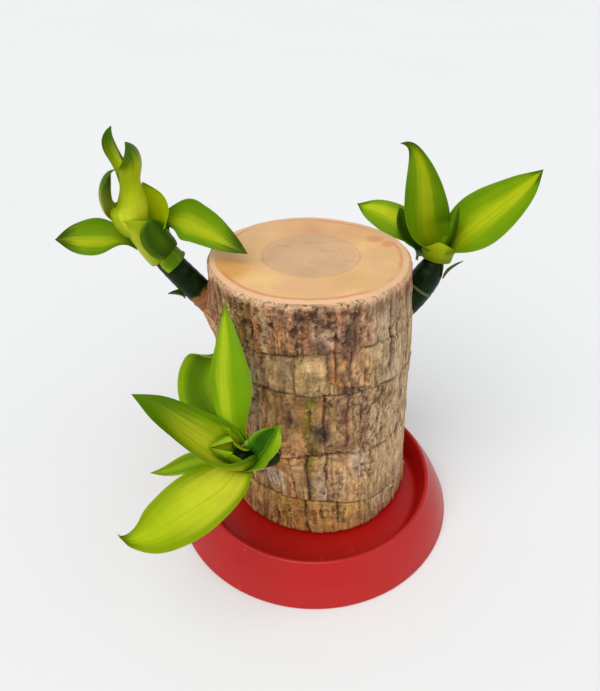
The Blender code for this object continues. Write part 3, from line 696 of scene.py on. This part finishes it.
def lattice_noise(across, up, cells, seed):
    """Smooth noise from 0 to 1 that closes on itself round the log.

    Random numbers stand at the corners of a lattice, and between them the value follows a smooth
    step both ways. across is the share of a full turn, and up counts lattice rows.
    """
    table = np.random.default_rng(seed).random((64, cells))
    x = across * cells
    column, row = np.floor(x).astype(int), np.floor(up).astype(int)
    s, t = smooth_step(x - column), smooth_step(up - row)
    low, high = (table[r % 64, column % cells] * (1 - s) + table[r % 64, (column + 1) % cells] * s
                 for r in (row, row + 1))
    return low * (1 - t) + high * t


def fractal(across, height, cells, cell_height, seed, layers=3):
    """Sum of layers of noise, each twice as fine and half as strong, from about 0 to 1."""
    total = sum(lattice_noise(across, height / cell_height * 2**k, cells * 2**k, seed + k) / 2**k
                for k in range(layers))
    return total / (2 - 0.5 ** (layers - 1))


def round_log(heights, across):
    """Height of a scar at each share of a turn, from its heights at even steps all round."""
    closed = np.array(heights + heights[:2], float)
    x = (across % 1) * len(heights)
    k = np.floor(x).astype(int)
    t = smooth_step(x - k)
    return closed[k] * (1 - t) + closed[k + 1] * t


def plates(across, band, count, seed):
    """Bark split by upright cracks: distance to the nearest crack as a share of a plate's width,
    that crack's own random number, and the plate's own random number.

    The cracks stand near even steps round the log, each moved by a random part of a step, and
    differ from band to band.
    """
    rng = np.random.default_rng(seed)
    table = (len(BARK_BANDS), count)
    shift = rng.uniform(-0.42, 0.42, table)
    crack_value, plate_value = rng.random(table), rng.random(table)
    x = across * count
    k = np.floor(x).astype(int)
    nearest, crack, plate = np.full(x.shape, 9.0), np.zeros(x.shape), np.zeros(x.shape)
    for step in (-1, 0, 1, 2):
        j = (k + step) % count
        gap = x - (k + step + shift[band, j])
        crack = np.where(np.abs(gap) < nearest, crack_value[band, j], crack)
        nearest = np.minimum(np.abs(gap), nearest)
        plate = np.where(gap >= 0, plate_value[band, j], plate)
    return nearest, crack, plate


def random_streaks(count):
    """Thin stains scattered round the log, like those in STREAKS."""
    rng = np.random.default_rng(17)
    kinds = ("orange", "rust", "olive", "dark", "beige", "olive", "orange")
    low = rng.uniform(8, 118, count)
    high, half_width = low + rng.uniform(12, 45, count), rng.uniform(0.5, 1.5, count)
    strength = rng.uniform(0.4, 0.9, count)
    kind, angle = rng.choice(kinds, count), rng.uniform(0, 360, count)
    return tuple(zip(kind, angle, low, high, half_width, strength))


def along_bark(turn, angle, log):
    """Distance in mm along the bark from an angle in degrees."""
    return (np.mod(turn - math.radians(angle) + math.pi, 2 * math.pi) - math.pi) * log.top_radius / MM


def callus(turn, height, log):
    """Swelling of the bark round the foot of each shoot, from 0 to 1."""
    swelling, above, reach = 0, 3, 7.4
    for stem in STEMS.values():
        x, y, z = stem["base"]
        away = along_bark(turn, math.degrees(math.atan2(y - LOG_TOP[1], x - LOG_TOP[0])), log)
        swelling = swelling + np.exp(-(away**2 + (height - z - above) ** 2) / (2 * reach**2))
    return swelling


def bark(turn, height, log):
    """Relief in mm, colour and crumbliness of the bark at each turn in radians and height in mm.

    Ring scars cut it into bands. In each band upright cracks that come and go part the plates,
    which stand at slightly different heights and colours. Fibres run up the plates, crumbs break
    their surface, and streaks and patches stain them. The bark swells round the shoots.
    """
    across = (turn / (2 * math.pi)) % 1 + 0 * height
    height = height + 0 * turn
    noise = {name: fractal(across, height, *numbers) for name, numbers in BARK_NOISE.items()}
    mask = {name: smooth_step(fractal(across, height, *numbers), low, high)
            for name, (numbers, (low, high)) in BARK_MASKS.items()}
    sway, jitter, fibres, lumps = (noise[name] - 0.5 for name in ("sway", "jitter", "fibres", "lumps"))
    scar_gaps = [height - round_log(scar, across) - 3 * sway - 1.6 * jitter for scar in RING_SCARS]
    band = sum((gap > 0).astype(int) for gap in scar_gaps)
    light, dark, crumble, counts = (np.array([entry[key] for entry in BARK_BANDS])[band]
                                    for key in ("light", "dark", "crumble", "cracks"))

    # Cracks and scars, each a share from 0 on sound bark to about 1 at its bottom
    wandering = across + 0.016 * sway + 0.008 * jitter
    gap, crack_kind, plate = (np.zeros(across.shape) for _ in range(3))
    for number, entry in enumerate(BARK_BANDS):
        here = band == number
        gap[here], crack_kind[here], plate[here] = plates(
            wandering[here], band[here], entry["cracks"], 40)
    round_mm = 2 * math.pi * log.top_radius / MM
    crack_kind = crack_kind**1.6 * (0.3 + 0.7 * mask["open"])
    crack = bump(gap * round_mm / counts, 0.28 + 0.45 * crack_kind) * (0.3 + 0.7 * crack_kind)
    fine_gap, fine_kind, sliver = plates(wandering + 0.006 * jitter, band, SLIVERS, 60)
    fine_crack = bump(fine_gap * round_mm / SLIVERS, 0.4) * mask["fine"] * fine_kind
    cross_crack = bump(noise["short"] - 0.5, 0.02) * mask["cross"]
    scar = np.max([bump(g, 0.5) for g in scar_gaps], axis=0)
    scar = scar * (0.25 + 0.75 * mask["scarred"])
    scar_lip = np.max([bump(g + 1.3, 0.8) for g in scar_gaps], axis=0)

    # Crumbs and pits are fewer on the smooth right side, where the log also bulges a little
    rough = np.clip(crumble * (0.35 + mask["crumbly"]), 0, 1)
    rough = rough * (1 - 0.7 * bump(along_bark(turn, -20, log), 19))
    pits = mask["pitted"] * rough
    swelling = callus(turn, height, log)
    bulge = 1.3 * bump(along_bark(turn, -5, log), 22) * bump(height - 104, 24)

    # How many mm each stands out or cuts in
    relief = (0.8 * (plate - 0.5) + 0.3 * (sliver - 0.5) + 0.5 * fibres + (0.3 + 1.1 * rough) * lumps
              + 0.7 * rough * (noise["crumbs"] - 0.5) - 0.6 * pits + 0.3 * scar_lip
              - log.crack_depth / MM * (crack + 0.4 * fine_crack + 0.6 * scar + 0.4 * cross_crack))
    relief = relief * (1 - 0.3 * np.clip(swelling, 0, 1)) + 4.4 * swelling * (1 + 0.5 * lumps) + bulge

    # Plates, slivers and fibres between the band's two colours, then stains, then pits, cracks and
    # ring-scar grooves darkened as painted shade, the scars also in their own darker colour
    tone = 0.4 * plate + 0.35 * sliver + 0.12 + 0.9 * fibres + 0.5 * lumps
    colour = mix(dark, light, np.clip(tone, 0, 1))
    colour = mix(colour, BARK_COLOURS["tan"], 0.4 * smooth_step(sliver, 0.55, 0.9))
    colour = mix(colour, BARK_COLOURS["buff"], 0.35 * smooth_step(-plate, -0.35, -0.05))
    colour = colour * (0.88 + 0.4 * noise["clouds"] + 0.55 * fibres)[..., None]
    for kind, angle, low, high, half_width, strength in STREAKS + random_streaks(46):
        away = along_bark(turn, angle, log) + 6 * sway + 5 * jitter
        ends = smooth_step(height, low - 3, low + 3), smooth_step(-height, -high - 3, 3 - high)
        shape = bump(away, half_width) * ends[0] * ends[1]
        stain = np.clip(shape * strength * (0.25 + 1.25 * noise["short"]), 0, 1)
        colour = mix(colour, BARK_COLOURS[kind], stain)
    flecks = mask["flecked"] * (0.2 + 0.8 * rough)
    # Painted shade: the cracks, the scars' grooves and the pits darken, the scars partly in their own
    # darker colour.
    shadow = 1.15 * crack + 0.7 * fine_crack + 0.85 * scar + 0.7 * cross_crack
    for kind, share in (("fleck", 0.5 * flecks), ("young", np.clip(1.2 * swelling - 0.25, 0, 0.85)),
                        ("pit", np.clip(0.85 * pits, 0, 1)), ("crack", np.clip(shadow, 0, 0.94))):
        colour = mix(colour, BARK_COLOURS[kind], share)
    return relief, colour, rough


def bark_material():
    """Dry bark: its colour is stored on the points; fibres, crumbs, pits and grit break it up, and the
    pits are darkened as painted shade.
    """
    skin = Paint("bark", None, specular=0.25)
    place = skin.place()
    crumble = skin.stored("crumble")
    upright = skin.add("Mapping", {"Vector": place, "Rotation": (0, math.radians(90), 0)})[0]
    grain = skin.group("fibres", upright, along=130.0, across=1200.0)["Lines"]
    cloud = skin.group("mottle", place, scale=900.0, amount=0.16)
    crumbs = skin.group("mottle", place, scale=620.0, amount=0.1)["Cloud"]
    grit = skin.group("specks", place, scale=1000.0, amount=0.25)["Mask"]
    share = skin.math("MULTIPLY_ADD", crumble, 0.75, 0.2)
    pale = skin.times(skin.span(crumbs, 0.56, 0.68), share)
    pits = skin.times(skin.span(crumbs, 0.34, 0.44, 1.0, 0.0), share)
    skin.colour = skin.stored("bark_colour", "Color")
    skin.vary(cloud["Value"])
    skin.vary(skin.span(grain, 0.3, 0.7, 0.62, 1.3))
    skin.coat(skin.times(pale, 0.6), srgb(214, 176, 132))
    # Painted shade in the pits, which the bump also sinks.
    skin.coat(skin.times(pits, 0.7), srgb(66, 38, 24))
    skin.coat(skin.times(grit, 0.3), srgb(80, 52, 34))
    height = skin.math("MULTIPLY_ADD", grain, 0.6, skin.math("SUBTRACT", pale, pits))
    height = skin.math("ADD", height, cloud["Cloud"])
    return skin.finish(skin.span(cloud["Cloud"], 0.3, 0.7, 0.8, 0.97), height, 0.0006, 0.8)


def sawn_material(log):
    """Sawn end grain: sapwood round a greyer heart, growth rings, a red line and a pale rim."""
    wood = Paint("sawn_wood", log.sapwood)
    place = wood.place()
    mottle = wood.group("mottle", place, scale=55.0, amount=0.07)
    cloud = mottle["Cloud"]
    grain = wood.group("mottle", place, scale=900.0, amount=0.05)
    wobble = wood.times(wood.math("SUBTRACT", cloud, 0.5), 0.06)
    out = wood.math("ADD", wood.stored("from_middle"), wobble)
    heart = wood.math("ADD", wood.stored("from_heart"), wobble)
    wood.coat(wood.span(cloud, 0.45, 0.7), srgb(234, 188, 122))
    for (x, y), reach, stain in CUT_STAINS:
        spot = (BOWL_CENTRE[0] + x * MM, BOWL_CENTRE[1] + y * MM, log.top_height)
        away = wood.add("VectorMath", {0: place, 1: spot}, operation="DISTANCE")["Value"]
        away = wood.math("MULTIPLY_ADD", wobble, 0.12, away)
        wood.coat(wood.span(away, reach * MM * 0.3, reach * MM, 0.75, 0.0), stain)

    in_heart = wood.span(heart, 0.42, 0.49, 0.9, 0.0)
    fibres = wood.group("fibres", place, along=70.0, across=260.0)["Lines"]
    flakes = wood.times(wood.span(fibres, 0.6, 0.68), 0.35)
    heartwood = wood.blend(wood.span(cloud, 0.4, 0.62), log.heartwood, srgb(210, 168, 128))
    wood.coat(in_heart, wood.blend(flakes, heartwood, srgb(164, 124, 88)))
    rings = wood.math("MULTIPLY_ADD", wood.math("SINE", wood.times(heart, 190.0)), 0.01, 0.99)
    wood.vary(rings)
    wood.coat(wood.times(wood.stripe(heart, 0.455, 0.475, 0.475, 0.50), 0.35), srgb(176, 132, 92))
    specks = wood.group("specks", place, scale=420.0, amount=0.09)["Mask"]
    wood.coat(wood.times(wood.times(specks, in_heart), 0.3), srgb(150, 112, 80))
    red = wood.times(wood.stripe(out, 0.885, 0.92, 0.93, 0.945), wood.span(cloud, 0.36, 0.54))
    wood.coat(wood.times(red, 0.6), srgb(204, 112, 76))
    wood.coat(wood.span(out, 0.93, 0.95), log.inner_bark)
    wood.vary(mottle["Value"])
    wood.vary(grain["Value"])
    height = wood.math("MULTIPLY_ADD", rings, 1.5, grain["Cloud"])
    return wood.finish(wood.span(grain["Cloud"], 0.3, 0.7, 0.5, 0.66), height, 0.0002, 0.35)


def log_rings(radius, height, turn, share):
    """Points round the log; towards the top they tip with the sawn plane."""
    x, y = (base + (top - base) * share for base, top in zip(LOG_BASE, LOG_TOP))
    px, py = x + radius * np.cos(turn), y + radius * np.sin(turn)
    return np.stack([px, py, height + share * math.tan(CUT_SLOPE) * (py - LOG_TOP[1])], -1)


class WOODPLANT_OT_log(bpy.types.Operator):
    """Builds the log: cracked and ringed bark round sawn end grain"""

    bl_idname = "wood_plant.log"
    bl_label = "Log"

    def execute(self, context):
        """Rings of bark from the foot to the top, each point moved out by the bark's relief, then
        rings on the sawn plane, drawn in to the middle."""
        log = context.scene.wood_plant_log
        top, side_rows, cut_rows, count = log.top_height / MM, 205, 26, log.columns
        turn = np.linspace(0, 2 * math.pi, count, endpoint=False)[None]
        heights = np.linspace(LOG_FOOT, top, side_rows)[:, None]
        share = (heights - LOG_FOOT) / (top - LOG_FOOT)
        relief, colour, rough = bark(turn, heights, log)
        radius = log.base_radius / MM + (log.top_radius - log.base_radius) / MM * share
        lobes = 0.4 * np.cos(3 * turn + 1) * (1 - share) + 0.3 * np.cos(5 * turn + 4 * share)
        foot_wear = fractal(turn / (2 * math.pi), heights, 60, 9, 7)
        foot_round = 2.2 * bump(heights - LOG_FOOT, 1.6) * (0.7 + 0.9 * foot_wear)
        rim_round = 1.1 * bump(heights - top, 0.8)
        fade = 1 - 0.75 * bump(heights - top, 1.2)
        radius = radius + lobes + relief * fade - foot_round - rim_round
        side = log_rings(radius, heights, turn, share)
        inner = np.linspace(1, 0.02, cut_rows + 1)[1:, None]
        inner[:4, 0] = 0.99, 0.975, 0.955, 0.93
        dish = 0.35 * bump(inner - 1, 0.03)
        cut = log_rings(radius[-1:] * inner, top + 0.25 - dish, turn, np.ones((1, 1)))
        points, faces = capped_grid(np.vstack([side, cut]), side[0].mean(0), cut[-1].mean(0))
        materials = [bark_material(), sawn_material(log)]
        piece = new_piece("log_trunk", points, faces, materials, "log")
        bark_faces = (side_rows - 1) * count
        index = np.zeros(len(faces), np.int32)
        index[bark_faces:bark_faces + cut_rows * count] = 1
        index[-count:] = 1
        piece.data.polygons.foreach_set("material_index", index)

        # The bark pales unevenly towards its sawn top edge: a painted highlight where the edge catches
        # the light.
        lit_rim = fractal(turn / (2 * math.pi), heights, 50, 9, 7)
        edge = smooth_step(heights, top - 4.5, top - 1) * (0.3 + 1.1 * lit_rim) + bump(heights - top, 0.55)
        colour = mix(colour, BARK_COLOURS["lit_rim"], np.clip(edge, 0, 0.92))
        colours = np.vstack([colour, np.tile(colour[-1:], (cut_rows, 1, 1))]).reshape(-1, 3)
        set_values(piece, "bark_colour", np.vstack([colours, colours[:1], colours[-1:]]))
        rough = np.vstack([rough, np.zeros((cut_rows, count))]).ravel()
        set_values(piece, "crumble", np.append(rough, (0, 0)))
        middle_share = np.vstack([np.ones((side_rows, count)), inner + 0 * turn]).ravel()
        set_values(piece, "from_middle", np.append(middle_share, (1, 0)))
        heart = points[:, :2] - (np.array(LOG_TOP) + (0.8, 0.4))
        set_values(piece, "from_heart", np.linalg.norm(heart, axis=1) / (log.top_radius / MM))
        return {"FINISHED"}


# Stems


def stem_axis(stem, count=81):
    """Centre line, heading and radius of a stem at count even steps."""
    u = np.linspace(0, 1, count)
    headings = unit(direction(along(stem["turn"], u), along(stem["rise"], u)))
    return walk(stem["base"], headings, stem["length"]), headings, along(stem["radius"], u)


def stem_point(stem, distance):
    """Centre, heading and radius of a stem at a distance from its foot."""
    centres, headings, radii = stem_axis(stem)
    x = np.linspace(0, stem["length"], len(radii))
    read = [np.interp(distance, x, column) for column in (*centres.T, *headings.T, radii)]
    return np.array(read[:3]), unit(np.array(read[3:6])), read[6]


def stem_material(shoots):
    """Waxy dark green skin, paler at the leaf scars and brown near the bark."""
    skin = Paint("stem_skin", shoots.stem_colour, specular=0.16, specular_tint=(0.7, 1, 0.6))
    mottle = skin.group("mottle", skin.place(), scale=260.0, amount=0.22)["Cloud"]
    lines = skin.group("fibres", skin.uv(), along=8.0, across=40.0)["Lines"]
    skin.coat(skin.span(mottle, 0.45, 0.7), srgb(20, 46, 8))
    skin.vary(skin.span(lines, 0.3, 0.7, 0.8, 1.15))
    skin.coat(skin.times(skin.stored("scar"), 0.42), shoots.scar_colour)
    edge = skin.math("MULTIPLY_ADD", mottle, 6.0, skin.stored("above_foot"))
    skin.coat(skin.span(edge, 2.0, 4.0, 1.0, 0.0), srgb(150, 98, 52))
    return skin.finish(skin.span(mottle, 0.3, 0.7, 0.3, 0.5), lines, 0.0004, 0.5)


def stem_surface(stem):
    """Points of a stem in rings along its path, each ring's scar share and distance, and its ends.

    The radius follows the stem's own taper, swells to a lip at each leaf scar, dips just above it,
    and closes in a half circle at the tip. The foot runs on into the log.
    """
    rows, columns, root = 110, 40, 5.0
    centres, headings, radii = stem_axis(stem, rows)
    walked = np.linspace(0, stem["length"], rows)
    gaps = walked[:, None] - np.array(stem["scars"])
    lips = bump(gaps, 0.55).sum(1)
    radii = radii + 0.25 * lips - 0.2 * bump(gaps - 0.9, 0.5).sum(1) + 0.04 * np.sin(walked * 1.7)
    tip_turn = np.linspace(0, math.pi / 2, 9)[1:-1]
    tip = centres[-1] + headings[-1] * (np.sin(tip_turn) * radii[-1])[:, None]
    centres = np.vstack([centres[:1] - headings[:1] * root, centres, tip])
    headings = np.vstack([headings[:1], headings, np.repeat(headings[-1:], len(tip_turn), 0)])
    radii = np.concatenate([radii[:1], radii, radii[-1] * np.cos(tip_turn)])
    lips = np.concatenate([lips[:1], lips, 0 * tip_turn])
    across = unit(np.cross(headings, (0.0, 1.0, 0.0)))
    over = np.cross(headings, across)
    angle = np.linspace(0, 2 * math.pi, columns, endpoint=False)[None, :, None]
    ring = np.cos(angle) * across[:, None] + np.sin(angle) * over[:, None]
    last = centres[-1] + headings[-1] * radii[-1] * 0.2
    walked = np.concatenate([[-root], walked, stem["length"] + 0 * tip_turn])
    return centres[:, None] + radii[:, None, None] * ring, lips, walked, (centres[0], last)


class WOODPLANT_OT_stems(bpy.types.Operator):
    """Builds the stem of each shoot, ringed by leaf scars"""

    bl_idname = "wood_plant.stems"
    bl_label = "Stems"

    def execute(self, context):
        skin = stem_material(context.scene.wood_plant_shoots)
        for name, stem in STEMS.items():
            rings, lips, walked, ends = stem_surface(stem)
            rows, columns = rings.shape[:2]
            points, faces = capped_grid(rings, *ends)
            piece = new_piece(f"shoot_{name}_stem", points, faces, [skin], f"stem_{name}")
            set_uv(piece, np.linspace(0, 1, rows), np.linspace(0, 1, columns), ((0, 0), (1, 0)))
            set_values(piece, "scar", np.append(np.repeat(np.clip(lips, 0, 1), columns), (0, 0)))
            above_foot = np.append(np.repeat(walked, columns), (walked[0], walked[-1])) - stem["foot"]
            set_values(piece, "above_foot", above_foot)
        return {"FINISHED"}


# Leaves


def leaf_surface(stem, at, side, length, width, aim, outline, curl, fold=0.1, wave=0.3, waves=2,
                 roll=(0,), lift=0):
    """Grid of points of a leaf's middle surface, in rows from its base to near its tip, and the tip.

    The midrib leaves the stem along the stem's own heading and bends through the aims. Each row is
    an arc across it, hollow towards the stem and wrapped round the stem at the base. The midrib
    is creased by fold times the half width, and the margins ripple in a sine along the leaf.
    """
    gap, narrowest, widest_wrap = 0.85, 0.02, math.radians(165)
    centre, heading, stem_radius = stem_point(stem, at)
    outward = direction(side, 0)
    outward = unit(outward - (outward @ heading) * heading)
    base_radius = stem_radius + gap + lift
    rows, columns = max(36, round(length * 1.8)), 29
    u = np.linspace(0, 1, rows)
    headings = unit(along(np.vstack([heading] + [direction(*pair) for pair in aim]), u))
    midrib = walk(centre + outward * base_radius, headings, length)
    start_across = np.cross(heading, outward)
    across = unit(start_across - (headings @ start_across)[:, None] * headings)
    inward = np.cross(headings, across)
    turn = np.radians(along(roll, u))[:, None]
    across, inward = (across * np.cos(turn) + inward * np.sin(turn),
                      inward * np.cos(turn) - across * np.sin(turn))
    half_width = np.maximum(width / 2 * along(outline, u), narrowest)
    wrap = min(half_width[0] / base_radius, widest_wrap)
    blend = smooth_step(u * 4)
    half_angle = wrap * (1 - blend) + np.radians(along(curl, u)) * blend
    v = np.linspace(-1, 1, columns)
    angle = half_angle[:, None] * v
    radius = (half_width / half_angle)[:, None]
    crease = fold * half_width[:, None] * (1 - np.sqrt(v**2 + 0.01)) * blend[:, None]
    free = (smooth_step(u, 0.1, 0.4) * smooth_step(-u, -1, -0.8))[:, None]
    phase = 2 * math.pi * waves * u[:, None] + 1.3 * np.sign(v) + length
    ripple = wave * free * np.abs(v) ** 2.5 * np.sin(phase)
    sideways = (radius * np.sin(angle))[..., None]
    hollow = (radius * (1 - np.cos(angle)) - crease + ripple)[..., None]
    points = midrib[:, None] + across[:, None] * sideways + inward[:, None] * hollow
    return points[:-1], midrib[-1], u[:-1], v


def thick_leaf(middle, tip, thickness):
    """Closed skin about a leaf's middle surface: over the upper side and back along the underside.

    Each point moves half the thickness along the surface's own normal. The thickness falls from
    the midrib to the margins and from the base to the tip.
    """
    rows, columns = middle.shape[:2]
    normal = unit(np.cross(np.gradient(middle, axis=1), np.gradient(middle, axis=0)))
    u, v = np.linspace(0, 1, rows)[:, None], np.linspace(-1, 1, columns)[None]
    half = thickness / 2 * (0.22 + 0.78 * (1 - v**2) ** 0.7) * (1 - 0.55 * u)
    upper, under = middle + normal * half[..., None], middle - normal * half[..., None]
    points = np.concatenate([upper, under[:, ::-1]], 1)
    loop = 2 * columns
    low = np.arange(columns - 1)
    base = np.stack([low + 1, low, loop - 1 - low, loop - 2 - low], -1)
    last = (rows - 1) * loop
    faces = grid_quads(rows, loop, True).tolist() + base.tolist()
    faces += fan(np.arange(last, last + loop), rows * loop)
    return np.vstack([points.reshape(-1, 3), tip]), faces


def leaf_material(name, seed, look, stripe=(0.5, 0.4), tip=0.1, pale_to=0.4):
    """Waxy leaf: green blade with darker margins, a frayed paler stripe, fine veins and a dark tip."""
    margin, blade, stripe_colour, tip_colour, base = (srgb(*colour) for colour in LEAF_LOOKS[look])
    skin = Paint(name, blade, specular=0.22, specular_tint=(0.9, 1, 0.2))
    uv = skin.uv()
    parts = skin.add("SeparateXYZ", {"Vector": uv})
    veins = skin.group("fibres", uv, along=1.6, across=15.0, seed=float(seed))
    cloud = skin.group("mottle", skin.place(), scale=140.0, amount=0.06)
    fray = skin.math("SUBTRACT", veins["Lines"], 0.5)
    from_stripe, from_midrib = (skin.math("ABSOLUTE", skin.math("SUBTRACT", parts["Y"], middle))
                                for middle in (stripe[0], 0.5))
    from_stripe = skin.math("MULTIPLY_ADD", fray, 0.3, from_stripe)
    near_margin = skin.span(skin.math("MULTIPLY_ADD", fray, 0.22, from_midrib), 0.27, 0.47)
    near_tip = skin.math("MULTIPLY_ADD", fray, 0.25, parts["X"])
    near_tip = skin.math("MULTIPLY_ADD", from_midrib, 0.12, near_tip)
    skin.coat(skin.span(from_stripe, stripe[1] * 0.1, stripe[1] * 0.75, 1.0, 0.0), stripe_colour)
    skin.coat(skin.span(parts["X"], 0.02, pale_to, 0.85, 0.0), base)
    skin.coat(near_margin, margin)
    skin.coat(skin.span(near_tip, 1 - 1.3 * tip, 1.0 - 0.2 * tip), tip_colour)
    skin.vary(skin.span(veins["Fine"], 0.3, 0.7, 0.94, 1.05))
    skin.vary(cloud["Value"])
    skin.coat(skin.span(from_midrib, 0.004, 0.022, 0.28, 0.0), margin)
    return skin.finish(skin.span(veins["Fine"], 0.3, 0.7, 0.36, 0.5), veins["Lines"], 0.0004, 0.3)


class WOODPLANT_OT_leaves(bpy.types.Operator):
    """Builds every leaf of the three shoots"""

    bl_idname = "wood_plant.leaves"
    bl_label = "Leaves"

    def execute(self, context):
        thickness = context.scene.wood_plant_shoots.leaf_thickness / MM
        for seed, (name, leaf) in enumerate(LEAVES.items()):
            paint = {key: leaf[key] for key in LEAF_PAINT if key in leaf}
            shape = {key: leaf[key] for key in leaf.keys() - paint.keys()}
            middle, tip, u, v = leaf_surface(STEMS[name[0]], **shape)
            points, faces = thick_leaf(middle, tip, thickness)
            material = leaf_material(f"leaf_{name}", seed, **paint)
            piece = new_piece(f"shoot_{name}_leaf", points, faces, [material], f"leaf_{name}")
            set_uv(piece, u, np.concatenate([v, v[::-1]]) / 2 + 0.5, ((1, 0.5),))
        return {"FINISHED"}


# Stage


def from_bowl(thing, offset, target):
    """Light or camera put in the scene and turned to a target, both placed from the bowl."""
    made = bpy.data.objects.new(thing.name, thing)
    made.location = Vector(BOWL_CENTRE) + Vector(offset)
    made.rotation_mode = "QUATERNION"
    aim = Vector(BOWL_CENTRE) + Vector(target)
    made.rotation_quaternion = (aim - made.location).to_track_quat("-Z", "Y")
    bpy.context.scene.collection.objects.link(made)
    return made


def soft_sun(name, offset, strength, colour):
    """Even light from the direction of an offset, wide enough for soft shadows."""
    lamp = bpy.data.lights.new(name, "SUN")
    lamp.angle = math.radians(60)
    lamp.energy = strength
    lamp.color = colour
    from_bowl(lamp, offset, (0, 0, 0))


def floor_material(colour):
    """Plain pale floor with a trace of unevenness."""
    paint = Paint("pale_floor", colour, roughness=0.75)
    paint.vary(paint.group("mottle", paint.place(), scale=4.0, amount=0.01)["Value"])
    paint.set(paint.shader["Base Color"], paint.colour)
    return paint.material


class WOODPLANT_OT_stage(bpy.types.Operator):
    """Lays the floor and sets the soft lights and the camera"""

    bl_idname = "wood_plant.stage"
    bl_label = "Stage"

    def execute(self, context):
        stage = context.scene.wood_plant_stage
        reach = 6.0
        mesh = bpy.data.meshes.new("floor")
        corners = [(-reach, -reach, 0), (reach, -reach, 0), (reach, reach, 0), (-reach, reach, 0)]
        mesh.from_pydata(corners, [], [(0, 1, 2, 3)])
        mesh.materials.append(floor_material(stage.floor))
        floor = bpy.data.objects.new("floor", mesh)
        context.scene.collection.objects.link(floor)

        soft_sun("key", (-0.3, -0.6, 0.9), stage.key, (1, 0.985, 0.96))
        soft_sun("fill", (0.7, -0.4, 0.5), stage.fill, (0.97, 0.98, 1))

        world = bpy.data.worlds.new("studio")
        world.use_nodes = True
        background = world.node_tree.nodes["Background"]
        background.inputs["Color"].default_value = (0.93, 0.97, 1, 1)
        background.inputs["Strength"].default_value = stage.sky
        context.scene.world = world
        context.scene.view_settings.view_transform = "Standard"

        lens = bpy.data.cameras.new("camera")
        lens.lens = stage.lens
        lens.clip_start, lens.clip_end = 0.01, 30
        context.scene.camera = from_bowl(lens, (0, -0.2334, 0.2692), (-0.0068, 0, 0.0971))
        return {"FINISHED"}


OPERATORS = (WOODPLANT_OT_stage, WOODPLANT_OT_bowl, WOODPLANT_OT_log, WOODPLANT_OT_stems,
             WOODPLANT_OT_leaves)
SETTINGS = {
    "wood_plant_stage": StageSettings,
    "wood_plant_bowl": BowlSettings,
    "wood_plant_log": LogSettings,
    "wood_plant_shoots": ShootSettings,
}


class WOODPLANT_PT_panel(bpy.types.Panel):
    """Lists the plant's pieces and the sizes and colours that they are built with"""

    bl_label = "Wood Plant"
    bl_idname = "WOODPLANT_PT_panel"
    bl_space_type = "VIEW_3D"
    bl_region_type = "UI"
    bl_category = "Wood Plant"

    def draw(self, context):
        for operator in OPERATORS:
            self.layout.operator(operator.bl_idname)
        for name, group in SETTINGS.items():
            settings = getattr(context.scene, name)
            box = self.layout.box()
            for label in group.__annotations__:
                box.prop(settings, label)


def register():
    for entry in (*SETTINGS.values(), *OPERATORS, WOODPLANT_PT_panel):
        bpy.utils.register_class(entry)
    for name, group in SETTINGS.items():
        setattr(bpy.types.Scene, name, PointerProperty(type=group))


def unregister():
    for name in SETTINGS:
        delattr(bpy.types.Scene, name)
    for entry in reversed((*SETTINGS.values(), *OPERATORS, WOODPLANT_PT_panel)):
        bpy.utils.unregister_class(entry)


def main():
    register()
    bpy.ops.wood_plant.stage()
    bpy.ops.wood_plant.bowl()
    bpy.ops.wood_plant.log()
    bpy.ops.wood_plant.stems()
    bpy.ops.wood_plant.leaves()


if __name__ == "__main__":
    main()
